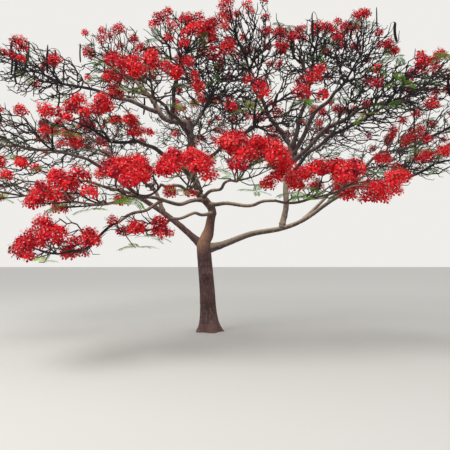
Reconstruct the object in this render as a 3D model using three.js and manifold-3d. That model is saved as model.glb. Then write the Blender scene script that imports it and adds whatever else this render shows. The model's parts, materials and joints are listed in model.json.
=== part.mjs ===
// A flame tree in blossom and nearly out of leaf: a short leaning trunk, sinuous spreading boughs, and a wide
// flat crown of bare twigs that carry red heads of bloom, a few feathery leaves and long dark pods.
// Millimetres, +X to the viewer's right, +Y away from the viewer, +Z up. The origin is the middle of the
// trunk's flat cut at ground level.
import * as THREE from 'three';
import { mergeVertices } from 'three/addons/utils/BufferGeometryUtils.js';
import Module from 'manifold-3d';

const wasm = await Module();
wasm.setup();

// Driving dimensions of the whole tree, and the gap at which its pieces meet
const FORK_HEIGHT = 1960;
const CROWN_TOP = 7300;
const CROWN_FLOOR = 1100;
const SEAT_GAP = 0.3;
const SEED = { limbs: 11, wood: 1011, finery: 5011 };

// The trunk: its lean at the fork, its radius at foot and fork, and its root flare, which stands out in lobes
const TRUNK = { lean: -135, bow: 1.4, foot: 172, fork: 150, sides: 12, rows: 9, crowding: 1.5 };
const FLARE = { height: 210, spread: 105, lobes: 5, depth: 0.2 };

// Limbs: each sways gently out of line, thins quickest near its root, and is cut into rows
const LIMB = { row: 480, sides: 6, sway: 0.022, waves: 1.5, thinning: 0.8 };
const SAMPLE_STEP = 70;

// Twigs: three-sided, forking from the nearest wood and turning up at their tips
const TWIG = { sides: 3, tip: 8, step: 740, wiggle: 0.07, ease: 0.34, turnIn: 0.5, upturn: 0.45 };
const STEM = { share: 0.6, fit: 0.94, sink: 2, lead: 0.04 };
const FORK = { pathWeight: 0.45, leastCosine: -0.3, choices: 4, checks: 4 };
const CLEARANCE = 22;
const SPACE_GAP = 30;
const STEEP = 0.8;
const TRIES_PER_TIP = 60;

// What a twig's tip carries: the room that it needs, how far apart two of a kind stand, and the shell of its
// space that it keeps to. Bloom keeps to the upper and outer side
const TIPS = {
  head: { room: 175, apart: 320, shell: [0.74, 1], lowest: -0.2 },
  leaf: { room: 190, apart: 400, shell: [0.4, 0.98], lowest: -1 },
  pod: { room: 60, apart: 380, shell: [0.4, 0.98], lowest: -1 },
  bare: { room: 12, apart: 300, shell: [0.4, 0.98], lowest: -1 },
};
const MOST_BACKWARD = -0.75;
const HEAD = { radius: 152, sides: 6, dome: 0.95, keel: 0.6, lumpiness: 0.2, sizes: [0.85, 1.15] };
const LEAF = { length: 380, width: 140, thickness: 10, root: 70, droop: 0.35 };
const POD = { length: 430, width: 48, thickness: 14, curl: 0.44, rows: 2, beak: 0.3, beakFrom: 0.9 };

const BARK = new THREE.MeshStandardMaterial({ color: 0x77564a, roughness: 0.85, metalness: 0 });
const BLOSSOM = new THREE.MeshStandardMaterial({ color: 0xd8232a, roughness: 0.6, metalness: 0 });
const TWIGS = new THREE.MeshStandardMaterial({ color: 0x4c3d3a, roughness: 0.85, metalness: 0 });

// Each limb: the limb that it grows from and the share of that limb's length, a point that it passes halfway,
// its tip, and its radii at root and tip
const limb = (name, parent, share, via, tip, radii) => ({ name, parent, share, via, tip, radii });
const LIMBS = [
  limb('leader', 'trunk', 0.97, [60, -30, 2530], [-225, 0, 2930], [94, 82]),
  limb('left_bough', 'trunk', 0.93, [-1400, 150, 2850], [-2600, -350, 3680], [74, 34]),
  limb('low_right_bough', 'trunk', 0.9, [1650, 420, 2310], [3150, -300, 3080], [80, 34]),
  limb('crown_stem', 'leader', 0.98, [-400, 50, 3700], [-455, 100, 4620], [80, 70]),
  limb('elbow', 'crown_stem', 0.97, [-1040, 100, 4740], [-1230, 100, 5080], [69, 52]),
  limb('right_stem', 'low_right_bough', 0.5, [1790, 500, 3300], [1850, 500, 4220], [68, 56]),
  limb('upper_left_bough', 'crown_stem', 0.3, [-980, -480, 3760], [-1380, -1180, 3860], [58, 34]),
  limb('top_left_far_limb', 'elbow', 0.62, [-1800, 60, 5060], [-2450, 120, 5300], [52, 36]),
  limb('top_left_limb', 'elbow', 0.97, [-1500, 330, 5380], [-1750, 560, 5700], [52, 37]),
  limb('left_upper_limb', 'crown_stem', 0.84, [-760, -430, 4600], [-930, -800, 4730], [46, 32]),
  limb('top_mid_left_limb', 'elbow', 0.3, [-780, -120, 5100], [-700, -380, 5380], [50, 35]),
  limb('centre_limb', 'crown_stem', 0.92, [-300, 300, 4680], [-160, 360, 4900], [46, 34]),
  limb('left_front_limb', 'left_bough', 0.52, [-2150, -700, 3060], [-2650, -1300, 3020], [42, 26]),
  limb('low_left_bough', 'leader', 0.86, [-780, -1250, 2660], [-1300, -2150, 2680], [46, 27]),
  limb('low_left_tip_limb', 'low_left_bough', 0.55, [-1250, -1950, 2360], [-1560, -2480, 2120], [32, 24]),
  limb('front_left_bough', 'crown_stem', 0.05, [-600, -1050, 2960], [-850, -1700, 2920], [42, 26]),
  limb('hanging_limb', 'leader', 0.5, [-330, -1100, 2400], [-640, -1850, 2260], [38, 24]),
  limb('front_middle_limb', 'crown_stem', 0.14, [-250, -950, 3120], [-240, -1550, 3060], [40, 26]),
  limb('front_right_limb', 'leader', 0.93, [180, -850, 2960], [430, -1450, 3040], [42, 26]),
  limb('right_front_bough', 'leader', 0.74, [720, -900, 2650], [1300, -1550, 2640], [46, 27]),
  limb('centre_near_limb', 'crown_stem', 0.4, [100, -800, 3720], [480, -1350, 3880], [42, 32]),
  limb('right_far_limb', 'low_right_bough', 0.8, [3250, -80, 3420], [3750, -150, 3880], [36, 26]),
  limb('top_middle_limb', 'right_stem', 0.97, [1310, 480, 5000], [1040, 520, 5500], [54, 40]),
  limb('top_mid_right_limb', 'right_stem', 0.9, [2120, 230, 4900], [2180, -60, 5250], [54, 38]),
  limb('top_right_limb', 'right_stem', 0.82, [2500, 560, 4950], [2980, 600, 5500], [54, 40]),
  limb('top_right_far_limb', 'right_stem', 0.72, [2750, 260, 4520], [3400, 150, 4920], [52, 38]),
  limb('right_twigs_limb', 'right_stem', 0.55, [2250, -100, 3900], [2480, -750, 4050], [44, 34]),
  limb('far_right_limb', 'low_right_bough', 0.62, [3000, 850, 3250], [3550, 1250, 3680], [40, 26]),
  limb('back_left_limb', 'left_bough', 0.32, [-1600, 1250, 3500], [-2100, 1850, 4020], [48, 28]),
  limb('back_middle_limb', 'crown_stem', 0.55, [-470, 1050, 4200], [-430, 1700, 4550], [48, 28]),
  limb('back_right_limb', 'right_stem', 0.35, [1950, 1350, 3850], [2250, 1950, 4220], [46, 28]),
];

// Each mass of the crown: the limb whose tip it grows on, how far it reaches, the width and height of its
// space, and how many twig tips are wished for that carry heads of bloom, leaves, pods or nothing
const mass = (name, bough, to, girth, tips) => ({ name, bough, to, girth, tips });
const MASSES = [
  mass('low_left_tip', 'low_left_tip_limb', [-2420, -4500, 1260], [1150, 1150], [7, 0, 0, 0]),
  mass('low_left', 'low_left_bough', [-2350, -4300, 2200], [1600, 900], [7, 1, 0, 2]),
  mass('front_left', 'front_left_bough', [-1620, -4350, 2380], [2100, 850], [8, 1, 0, 1]),
  mass('front_middle', 'front_middle_limb', [-200, -4300, 2540], [1900, 850], [8, 1, 0, 1]),
  mass('front_right', 'front_right_limb', [820, -4100, 2900], [1800, 1000], [8, 1, 0, 1]),
  mass('low_hanging', 'hanging_limb', [-1600, -3950, 1800], [1200, 850], [5, 1, 0, 3]),
  mass('right_low', 'right_front_bough', [2900, -3750, 2700], [1700, 900], [9, 2, 0, 1]),
  mass('left_front', 'left_front_limb', [-4700, -2900, 2600], [2300, 950], [5, 2, 0, 2]),
  mass('left_mid', 'upper_left_bough', [-2400, -3250, 3750], [2000, 1100], [8, 1, 0, 2]),
  mass('left_upper', 'left_upper_limb', [-1080, -2750, 4820], [2000, 1100], [9, 1, 0, 2]),
  mass('centre_near', 'centre_near_limb', [1750, -3700, 4350], [1700, 950], [4, 1, 0, 3]),
  mass('right_mid', 'low_right_bough', [5150, -2250, 3550], [2000, 1000], [3, 3, 0, 3]),
  mass('right_far', 'right_far_limb', [6250, -600, 4750], [2200, 1300], [5, 2, 1, 3]),
  mass('top_left_far', 'top_left_far_limb', [-5250, 150, 6100], [2600, 1150], [4, 2, 4, 2]),
  mass('top_left', 'top_left_limb', [-2900, 1700, 6750], [2300, 2200], [5, 3, 1, 3]),
  mass('top_mid_left', 'top_mid_left_limb', [-250, -1700, 5820], [2000, 2100], [9, 2, 0, 3]),
  mass('top_middle', 'top_middle_limb', [600, 900, 7300], [2300, 3300], [11, 1, 1, 3]),
  mass('top_mid_right', 'top_mid_right_limb', [2300, -900, 6500], [1950, 2700], [4, 1, 3, 3]),
  mass('top_right', 'top_right_limb', [4000, 950, 7000], [2200, 2900], [8, 1, 2, 3]),
  mass('top_right_far', 'top_right_far_limb', [5950, 100, 5850], [2400, 1300], [7, 2, 1, 2]),
  mass('centre', 'centre_limb', [500, 400, 6100], [2400, 2700], [2, 1, 0, 7]),
  mass('right_twigs', 'right_twigs_limb', [4050, -2900, 4850], [1900, 1200], [2, 2, 0, 5]),
  mass('far_left', 'left_bough', [-5850, -500, 4550], [3200, 1400], [5, 3, 1, 3]),
  mass('far_right', 'far_right_limb', [5900, 2800, 4600], [3200, 1500], [6, 2, 1, 2]),
  mass('back_left', 'back_left_limb', [-4200, 4300, 5600], [4000, 2000], [11, 2, 1, 2]),
  mass('back_middle', 'back_middle_limb', [-300, 4800, 6000], [4000, 2100], [11, 2, 1, 2]),
  mass('back_right', 'back_right_limb', [3700, 4500, 5700], [4000, 2000], [11, 2, 1, 2]),
];

// A repeatable source of numbers from 0 up to 1
function seeded(seed) {
  let state = (seed * 2654435761) >>> 0;
  const next = () => {
    state = (Math.imul(state, 1664525) + 1013904223) >>> 0;
    return state / 4294967296;
  };
  next();
  next();
  return next;
}

const UP = new THREE.Vector3(0, 0, 1);
const AWAY = new THREE.Vector3(0, 1, 0);
const vector = (list) => new THREE.Vector3(...list);
const mixed = (a, b, share) => a.clone().lerp(b, share);
const toward = (a, b) => b.clone().sub(a).normalize();
const evenShares = (count) => Array.from({ length: count + 1 }, (_, i) => i / count);

// Directions along a line of points, and a sideways direction at each that turns as little as it can
function framesAlong(points) {
  const near = (i) => points[Math.min(Math.max(i, 0), points.length - 1)];
  const frames = points.map((_, i) => ({ ahead: toward(near(i - 1), near(i + 1)) }));
  let side = Math.abs(frames[0].ahead.x) > STEEP ? AWAY : new THREE.Vector3(1, 0, 0);
  for (const frame of frames) {
    side = side.clone().addScaledVector(frame.ahead, -side.dot(frame.ahead)).normalize();
    frame.side = side;
    frame.across = side.clone().cross(frame.ahead);
  }
  return frames;
}

// A closed cylinder bent along a line of points, with its own radius at each
function bentCylinder(points, radii, sides) {
  const rows = points.length - 1;
  const geometry = new THREE.CylinderGeometry(1, 1, rows, sides, rows);
  const corners = geometry.getAttribute('position');
  const frames = framesAlong(points);
  for (let i = 0; i < corners.count; i++) {
    const row = Math.round(corners.getY(i) + rows / 2);
    const corner = points[row].clone();
    corner.addScaledVector(frames[row].side, corners.getX(i) * radii[row]);
    corner.addScaledVector(frames[row].across, corners.getZ(i) * radii[row]);
    corners.setXYZ(i, corner.x, corner.y, corner.z);
  }
  return geometry;
}

function solidFrom(geometry) {
  geometry.deleteAttribute('normal');
  geometry.deleteAttribute('uv');
  const merged = mergeVertices(geometry, 1e-3);
  return new wasm.Manifold(new wasm.Mesh({
    numProp: 3,
    vertProperties: merged.getAttribute('position').array,
    triVerts: new Uint32Array(merged.index.array),
  }));
}

function meshFrom(solid, name, material) {
  const { vertProperties, triVerts } = solid.getMesh();
  const geometry = new THREE.BufferGeometry();
  geometry.setAttribute('position', new THREE.BufferAttribute(vertProperties, 3));
  geometry.setIndex(new THREE.BufferAttribute(triVerts, 1));
  const mesh = new THREE.Mesh(geometry, material);
  mesh.name = name;
  return mesh;
}

// The one body of a solid that holds most of it, so that no loose scrap is kept
function largestBody(solid) {
  return solid.decompose().reduce((best, body) => (body.volume() > best.volume() ? body : best));
}

// The trunk's middle and radius at a share of its height
function trunkAt(share) {
  return new THREE.Vector3(TRUNK.lean * share ** TRUNK.bow, 0, FORK_HEIGHT * share);
}

function trunkRadius(share) {
  const flare = FLARE.spread * Math.exp((-share * FORK_HEIGHT) / FLARE.height);
  return TRUNK.foot + (TRUNK.fork - TRUNK.foot) * share + flare;
}

// The trunk's rings lie level, so that its foot is flat, and crowd together in the root flare
function trunkGeometry(gap) {
  const geometry = new THREE.CylinderGeometry(1, 1, 1, TRUNK.sides, TRUNK.rows);
  geometry.rotateX(Math.PI / 2);
  const corners = geometry.getAttribute('position');
  for (let i = 0; i < corners.count; i++) {
    const level = corners.getZ(i) + 0.5;
    const share = level ** TRUNK.crowding;
    const angle = Math.atan2(corners.getY(i), corners.getX(i));
    const fade = Math.exp((-share * FORK_HEIGHT) / FLARE.height);
    const lobe = 1 + FLARE.depth * fade * Math.cos(FLARE.lobes * angle);
    const reach = Math.hypot(corners.getX(i), corners.getY(i)) * (trunkRadius(share) * lobe + gap);
    const middle = trunkAt(share);
    const rise = gap * Math.sign(level - 0.5);
    const corner = middle.add(new THREE.Vector3(reach * Math.cos(angle), reach * Math.sin(angle), rise));
    corners.setXYZ(i, corner.x, corner.y, corner.z);
  }
  return geometry;
}

// A limb's middle line: through its halfway point, with a slow sway that dies out at both ends
function limbLine(row, start, index) {
  const via = vector(row.via);
  const tip = vector(row.tip);
  const handle = via.clone().multiplyScalar(2).addScaledVector(start, -0.5).addScaledVector(tip, -0.5);
  const curve = new THREE.QuadraticBezierCurve3(start, handle, tip);
  const random = seeded(SEED.limbs + index);
  const phases = [random(), random(), random()].map((turn) => turn * 2 * Math.PI);
  const sway = LIMB.sway * (start.distanceTo(via) + via.distanceTo(tip));
  return (share) => {
    const reach = sway * Math.sin(Math.PI * share);
    const shift = phases.map((phase) => reach * Math.sin(2 * Math.PI * LIMB.waves * share + phase));
    return curve.getPoint(share).add(vector(shift));
  };
}

// Every limb by name, with its line and radius, and points along it that the twigs keep clear of
function layOutLimbs() {
  const limbs = new Map([['trunk', { name: 'trunk', at: trunkAt, radiusAt: trunkRadius }]]);
  LIMBS.forEach((row, index) => {
    const at = limbLine(row, limbs.get(row.parent).at(row.share), index);
    const radiusAt = (share) => row.radii[0] + (row.radii[1] - row.radii[0]) * share ** LIMB.thinning;
    limbs.set(row.name, { name: row.name, at, radiusAt });
  });
  for (const line of limbs.values()) {
    line.length = line.at(0).distanceTo(line.at(0.5)) + line.at(0.5).distanceTo(line.at(1));
    const shares = evenShares(Math.ceil(line.length / SAMPLE_STEP));
    line.samples = shares.map((share) => ({ place: line.at(share), radius: line.radiusAt(share) }));
  }
  return limbs;
}

// A limb's solid. A gap above zero gives the slightly larger shape that its neighbours are cut back to
function limbSolid(line, gap) {
  if (line.name === 'trunk') return solidFrom(trunkGeometry(gap));
  const shares = evenShares(Math.max(2, Math.round(line.length / LIMB.row)));
  const points = shares.map(line.at);
  const [before, tip] = points.slice(-2);
  tip.addScaledVector(toward(before, tip), gap);
  const grow = gap / Math.cos(Math.PI / LIMB.sides);
  return solidFrom(bentCylinder(points, shares.map((share) => line.radiusAt(share) + grow), LIMB.sides));
}

// The spaces of the masses: each an ellipsoid along its reach, walled off on the way to every neighbour
function layOutSpaces(limbs) {
  const spaces = MASSES.map((row) => {
    const start = limbs.get(row.bough).at(1);
    const reach = start.distanceTo(vector(row.to));
    const ahead = toward(start, vector(row.to));
    const side = ahead.clone().cross(Math.abs(ahead.z) > STEEP ? AWAY : UP).normalize();
    const axes = [ahead, side, side.clone().cross(ahead)];
    const half = [reach / 2, row.girth[0] / 2, row.girth[1] / 2];
    const size = (half[0] + half[1] + half[2]) / 3;
    return { ...row, axes, half, size, middle: mixed(start, vector(row.to), 0.5) };
  });
  for (const space of spaces) {
    space.walls = spaces.filter((other) => other !== space).map((other) => {
      const share = space.size / (space.size + other.size);
      const reach = share * space.middle.distanceTo(other.middle) - SPACE_GAP / 2;
      return { facing: toward(space.middle, other.middle), reach };
    });
  }
  return spaces;
}

function insideWalls(space, place, room) {
  if (place.z + room > CROWN_TOP || place.z - room < CROWN_FLOOR) return false;
  const offset = place.clone().sub(space.middle);
  return space.walls.every((wall) => offset.dot(wall.facing) + room <= wall.reach);
}

function clearOfLimbs(limbs, place, room) {
  for (const line of limbs.values()) {
    const touches = (sample) => sample.place.distanceTo(place) < sample.radius + room + CLEARANCE;
    if (line.samples.some(touches)) return false;
  }
  return true;
}

// A place for a tip of one kind in a mass's space, or null where that kind doesn't grow
function placeIn(space, kind, random) {
  const turn = 2 * Math.PI * random();
  const rise = 2 * random() - 1;
  const [inner, outer] = TIPS[kind].shell;
  const reach = inner + (outer - inner) * random();
  const flat = Math.sqrt(1 - rise * rise);
  const unit = [flat * Math.cos(turn), flat * Math.sin(turn), rise];
  const offset = new THREE.Vector3();
  unit.forEach((value, i) => offset.addScaledVector(space.axes[i], value * reach * space.half[i]));
  if (unit[0] < MOST_BACKWARD || offset.z < TIPS[kind].lowest * space.half[2]) return null;
  return offset.add(space.middle);
}

// Where the twig tips of a mass want to end, kept apart, the nearest to the limb's tip first
function scatterTips(space, limbs, random, start) {
  const wishes = [];
  Object.entries(TIPS).forEach(([kind, { room, apart }], which) => {
    const crowded = (place) => wishes.some((wish) => {
      return wish.place.distanceTo(place) < Math.min(apart, TIPS[wish.kind].apart);
    });
    let left = space.tips[which];
    for (let tries = TRIES_PER_TIP * left; tries > 0 && left > 0; tries--) {
      const place = placeIn(space, kind, random);
      if (!place || crowded(place)) continue;
      if (!insideWalls(space, place, room) || !clearOfLimbs(limbs, place, room)) continue;
      wishes.push({ kind, place, far: place.distanceTo(start) });
      left -= 1;
    }
  });
  return wishes.sort((a, b) => a.far - b.far);
}

// Points from a node of wood to a new tip: leaving near the old heading and arriving turned upwards
function twigPath(node, tip, random) {
  const length = node.place.distanceTo(tip);
  const straight = toward(node.place, tip);
  const leave = mixed(node.heading, straight, TWIG.turnIn).normalize();
  const arrive = mixed(straight, UP, TWIG.upturn).normalize();
  const firstHandle = node.place.clone().addScaledVector(leave, TWIG.ease * length);
  const lastHandle = tip.clone().addScaledVector(arrive, -TWIG.ease * length);
  const curve = new THREE.CubicBezierCurve3(node.place, firstHandle, lastHandle, tip);
  const count = Math.max(1, Math.round(length / TWIG.step));
  const jog = (TWIG.wiggle * length) / count;
  return evenShares(count).slice(1).map((share) => {
    const sway = vector([random(), random(), random()].map((value) => (2 * value - 1) * jog));
    return share < 1 ? curve.getPoint(share).add(sway) : tip;
  });
}

function pathIsFree(space, limbs, from, path) {
  const points = [from, ...path];
  const room = 2 * TWIG.tip;
  return path.every((_, i) => evenShares(FORK.checks).slice(1).every((share) => {
    const place = mixed(points[i], points[i + 1], share);
    return insideWalls(space, place, room) && clearOfLimbs(limbs, place, room);
  }));
}

function addPath(nodes, parent, path) {
  let last = parent;
  for (const place of path) {
    const before = nodes[last];
    const along = before.along + place.distanceTo(before.place);
    nodes.push({ place, heading: toward(before.place, place), parent: last, along, kind: null });
    last = nodes.length - 1;
  }
  return last;
}

// A mass's wood: a stem from the limb's tip to the heart of the space, then each tip joined to the wood that
// reaches it soonest. A tip that can't be reached inside the space, or past a limb, is skipped
function growWood(space, limbs, index) {
  const random = seeded(SEED.wood + index);
  const line = limbs.get(space.bough);
  const start = line.at(1);
  const heading = toward(line.at(1 - STEM.lead), start);
  const root = { place: start, heading, parent: -1, along: 0, kind: null };
  const nodes = [root];
  addPath(nodes, 0, twigPath(root, mixed(start, vector(space.to), STEM.share), random));
  const cost = ({ node, gap }) => gap + FORK.pathWeight * node.along;
  for (const wish of scatterTips(space, limbs, random, start)) {
    const choices = nodes
      .map((node, at) => ({ node, at, gap: node.place.distanceTo(wish.place) }))
      .filter(({ node, at }) => at > 0 && node.kind === null)
      .filter(({ node }) => toward(node.place, wish.place).dot(node.heading) > FORK.leastCosine)
      .sort((a, b) => cost(a) - cost(b))
      .slice(0, FORK.choices);
    for (const { node, at } of choices) {
      const path = twigPath(node, wish.place, random);
      if (!pathIsFree(space, limbs, node.place, path)) continue;
      nodes[addPath(nodes, at, path)].kind = wish.kind;
      break;
    }
  }
  return nodes;
}

// Radii from the tips inwards: wood that carries more tips is thicker, and the root fits the limb's tip
function thicken(nodes, rootRadius) {
  nodes.forEach((node) => { node.carried = 0; });
  for (let i = nodes.length - 1; i > 0; i--) {
    nodes[i].carried = Math.max(nodes[i].carried, 1);
    nodes[nodes[i].parent].carried += nodes[i].carried;
  }
  const most = Math.sqrt(Math.max(nodes[0].carried, 2)) - 1;
  for (const node of nodes) {
    const share = (Math.sqrt(node.carried) - 1) / most;
    node.radius = TWIG.tip + (rootRadius * STEM.fit - TWIG.tip) * share;
  }
}

// Runs of nodes, each from the wood that it leaves to a tip, following the child that carries most
function runsOf(nodes) {
  const children = nodes.map(() => []);
  nodes.forEach((node, i) => node.parent >= 0 && children[node.parent].push(i));
  children.forEach((list) => list.sort((a, b) => nodes[b].carried - nodes[a].carried || a - b));
  const runs = [];
  const follow = (from, first) => {
    const grown = [first];
    for (let at = first; children[at].length; at = children[at][0]) grown.push(children[at][0]);
    runs.push([...from, ...grown]);
    grown.forEach((at) => children[at].slice(1).forEach((child) => follow([at], child)));
  };
  follow([], 0);
  return runs;
}

// The stem is rounder than the twigs, and starts inside the limb, which it is cut back to later
function twigSolid(run, nodes) {
  const points = run.map((at) => nodes[at].place.clone());
  const radii = run.map((at) => nodes[at].radius);
  const isStem = run[0] === 0;
  if (isStem) points[0].addScaledVector(nodes[0].heading, -STEM.sink * nodes[0].radius);
  else radii[0] = radii[1];
  return solidFrom(bentCylinder(points, radii, isStem ? LIMB.sides : TWIG.sides));
}

// A head of bloom: a dome over a shallower keel, with a lumpy rim
function headSolid(place, random) {
  const geometry = new THREE.SphereGeometry(1, HEAD.sides, 2);
  const corners = geometry.getAttribute('position');
  const size = HEAD.radius * (HEAD.sizes[0] + (HEAD.sizes[1] - HEAD.sizes[0]) * random());
  const lumps = new Map();
  for (let i = 0; i < corners.count; i++) {
    const corner = new THREE.Vector3().fromBufferAttribute(corners, i);
    const key = corner.toArray().map((value) => Math.round(value * 10)).join();
    if (!lumps.has(key)) lumps.set(key, 1 + HEAD.lumpiness * (2 * random() - 1));
    corner.multiplyScalar(size * lumps.get(key));
    const rise = corner.y * (corner.y > 0 ? HEAD.dome : HEAD.keel);
    corners.setXYZ(i, place.x + corner.x, place.y - corner.z, place.z + rise);
  }
  return solidFrom(geometry);
}

// A blade of eight faces that leaves a twig's tip sideways and droops
function leafSolid(place, turn) {
  const geometry = new THREE.OctahedronGeometry(1, 0);
  geometry.scale(LEAF.length / 2, LEAF.width / 2, LEAF.thickness / 2);
  geometry.translate(LEAF.length / 2 - LEAF.root, 0, 0);
  geometry.rotateY(LEAF.droop);
  geometry.rotateZ(turn);
  geometry.translate(...place.toArray());
  return solidFrom(geometry);
}

// A long flat pod that hangs from a twig's tip, bows to one side and ends in a beak
function podSolid(place, turn) {
  const geometry = new THREE.BoxGeometry(POD.width, POD.thickness, POD.length, 1, 1, POD.rows);
  geometry.translate(0, 0, (POD.width - POD.length) / 2);
  const corners = geometry.getAttribute('position');
  const lowest = POD.width / 2 - POD.length;
  for (let i = 0; i < corners.count; i++) {
    const share = corners.getZ(i) / lowest;
    const width = share > POD.beakFrom ? POD.beak : 1;
    corners.setX(i, corners.getX(i) * width + POD.curl * POD.length * share * (1 - share));
  }
  geometry.rotateZ(turn);
  geometry.translate(...place.toArray());
  return solidFrom(geometry);
}

// A mass: its twigs and all that they carry fused into one body, cut 0.3 mm clear of its limb's tip
function massSolid(space, limbs, index) {
  const random = seeded(SEED.finery + index);
  const line = limbs.get(space.bough);
  const nodes = growWood(space, limbs, index);
  thicken(nodes, line.radiusAt(1));
  const pieces = runsOf(nodes).map((run) => twigSolid(run, nodes));
  for (const { kind, place } of nodes) {
    const turn = 2 * Math.PI * random();
    if (kind === 'head') pieces.push(headSolid(place, random));
    if (kind === 'leaf') pieces.push(leafSolid(place, turn));
    if (kind === 'pod') pieces.push(podSolid(place, turn));
  }
  const fused = pieces.reduce((whole, piece) => whole.add(piece));
  return largestBody(fused.subtract(limbSolid(line, SEAT_GAP)));
}

function buildTree() {
  const tree = new THREE.Group();
  const limbs = layOutLimbs();
  const fitted = [];
  for (const line of limbs.values()) {
    let solid = limbSolid(line, 0);
    for (const earlier of fitted) solid = largestBody(solid.subtract(earlier));
    fitted.push(limbSolid(line, SEAT_GAP));
    tree.add(meshFrom(solid, line.name, BARK));
  }
  layOutSpaces(limbs).forEach((space, index) => {
    const [heads, , , bare] = space.tips;
    const material = heads > bare ? BLOSSOM : TWIGS;
    tree.add(meshFrom(massSolid(space, limbs, index), `crown_${space.name}`, material));
  });
  return tree;
}

export default buildTree();
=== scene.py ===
"""The looks of a flame tree in blossom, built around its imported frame.

Metres, +Z up, +X to the viewer's right and +Y away from the viewer, with the origin in the middle of the
trunk's flat cut at ground level. The tree's rule is written here as in its source, draw for draw, so that
limbs, twigs and heads of bloom stand where the solids stand. It is then carried on to finer twigs, flowers,
leaves and pods in the same spaces.
"""

from __future__ import annotations

import json
import logging
import math
from collections.abc import Callable, Iterable, Sequence
from dataclasses import dataclass, field, replace
from enum import Enum
from functools import cached_property
from typing import NamedTuple

import bpy
import numpy as np
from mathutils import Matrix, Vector, noise

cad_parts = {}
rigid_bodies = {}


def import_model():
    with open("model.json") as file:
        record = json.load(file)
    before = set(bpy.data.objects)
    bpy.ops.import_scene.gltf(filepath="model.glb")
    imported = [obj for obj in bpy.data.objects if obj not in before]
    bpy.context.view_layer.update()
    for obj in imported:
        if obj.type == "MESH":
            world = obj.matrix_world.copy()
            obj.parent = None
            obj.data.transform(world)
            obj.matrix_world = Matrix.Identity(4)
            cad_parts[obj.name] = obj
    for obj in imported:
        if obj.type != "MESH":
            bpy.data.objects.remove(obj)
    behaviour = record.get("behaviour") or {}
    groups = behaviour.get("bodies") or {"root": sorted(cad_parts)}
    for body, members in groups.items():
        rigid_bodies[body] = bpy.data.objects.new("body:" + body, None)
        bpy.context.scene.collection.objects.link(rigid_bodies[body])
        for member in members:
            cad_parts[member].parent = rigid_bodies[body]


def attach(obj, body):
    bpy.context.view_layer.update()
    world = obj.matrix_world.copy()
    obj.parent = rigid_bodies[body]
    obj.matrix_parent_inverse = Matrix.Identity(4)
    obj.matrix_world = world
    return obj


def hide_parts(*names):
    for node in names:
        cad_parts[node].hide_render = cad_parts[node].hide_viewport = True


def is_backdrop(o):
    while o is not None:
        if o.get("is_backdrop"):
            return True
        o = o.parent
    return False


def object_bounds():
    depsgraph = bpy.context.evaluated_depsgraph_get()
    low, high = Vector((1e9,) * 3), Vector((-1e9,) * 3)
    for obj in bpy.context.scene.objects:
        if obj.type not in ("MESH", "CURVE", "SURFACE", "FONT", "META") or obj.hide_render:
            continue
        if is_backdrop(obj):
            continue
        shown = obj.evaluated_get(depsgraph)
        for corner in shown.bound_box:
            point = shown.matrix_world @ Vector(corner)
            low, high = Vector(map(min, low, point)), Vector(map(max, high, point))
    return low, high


Array = np.ndarray
Pair = tuple[float, float]
Colour = tuple[float, float, float]
Point = tuple[float, float, float]
Faces = tuple[tuple[int, int, int], ...]
Draw = Callable[[], float]
Random = np.random.Generator
Material = bpy.types.Material
Socket = bpy.types.NodeSocket

LOG = logging.getLogger("flame_tree")
BODY = "root"

# The driving sizes of the tree's rule, as in its source
FORK_HEIGHT = 1.96
CROWN_TOP = 7.3
CROWN_FLOOR = 1.1
SAMPLE_STEP = 0.07
CLEARANCE = 0.022
SPACE_GAP = 0.03
NEAR_WOOD = 1
STEEP = 0.8
TRIES_PER_TIP = 60
MOST_BACKWARD = -0.75
LIMB_SEED = 11
WOOD_SEED = 1011
FINERY_SEED = 5011
HEAD_RADIUS = 0.152
RING_LUMPS = 6

# The sizes of the finer growth, which is this script's own
FINE_SEED = 9011
TRIES_PER_FINE_TIP = 14
BARE_SHARE = 0.7
BARE_SHARE_PER_TIP = 0.15
EXTRA_LEAVES = 0.5
LEAST_WAVES = 0.6

TURN = 2 * math.pi
UP = np.array([0.0, 0.0, 1.0])
AWAY = np.array([0.0, 1.0, 0.0])
GOLDEN_TURN = math.pi * (3 - math.sqrt(5))


class Kind(Enum):
    """What a twig's tip carries, in the order in which the rule scatters the tips."""

    HEAD = 0
    LEAF = 1
    POD = 2
    BARE = 3


class Storey(Enum):
    """The parts of the crown that are each dressed as one."""

    LOW = "low"
    MIDDLE = "middle"
    TOP = "top"
    BACK = "back"


class LimbRow(NamedTuple):
    """One limb: where it leaves its parent, a point that it passes halfway, its tip, and its two radii."""

    name: str
    parent: str
    share: float
    via: Point
    tip: Point
    radii: Pair


class MassRow(NamedTuple):
    """One mass: its bough and storey, how far it reaches, its width and height, and its tips of each kind."""

    name: str
    bough: str
    storey: Storey
    to: Point
    girth: Pair
    tips: tuple[int, int, int, int]


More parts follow.
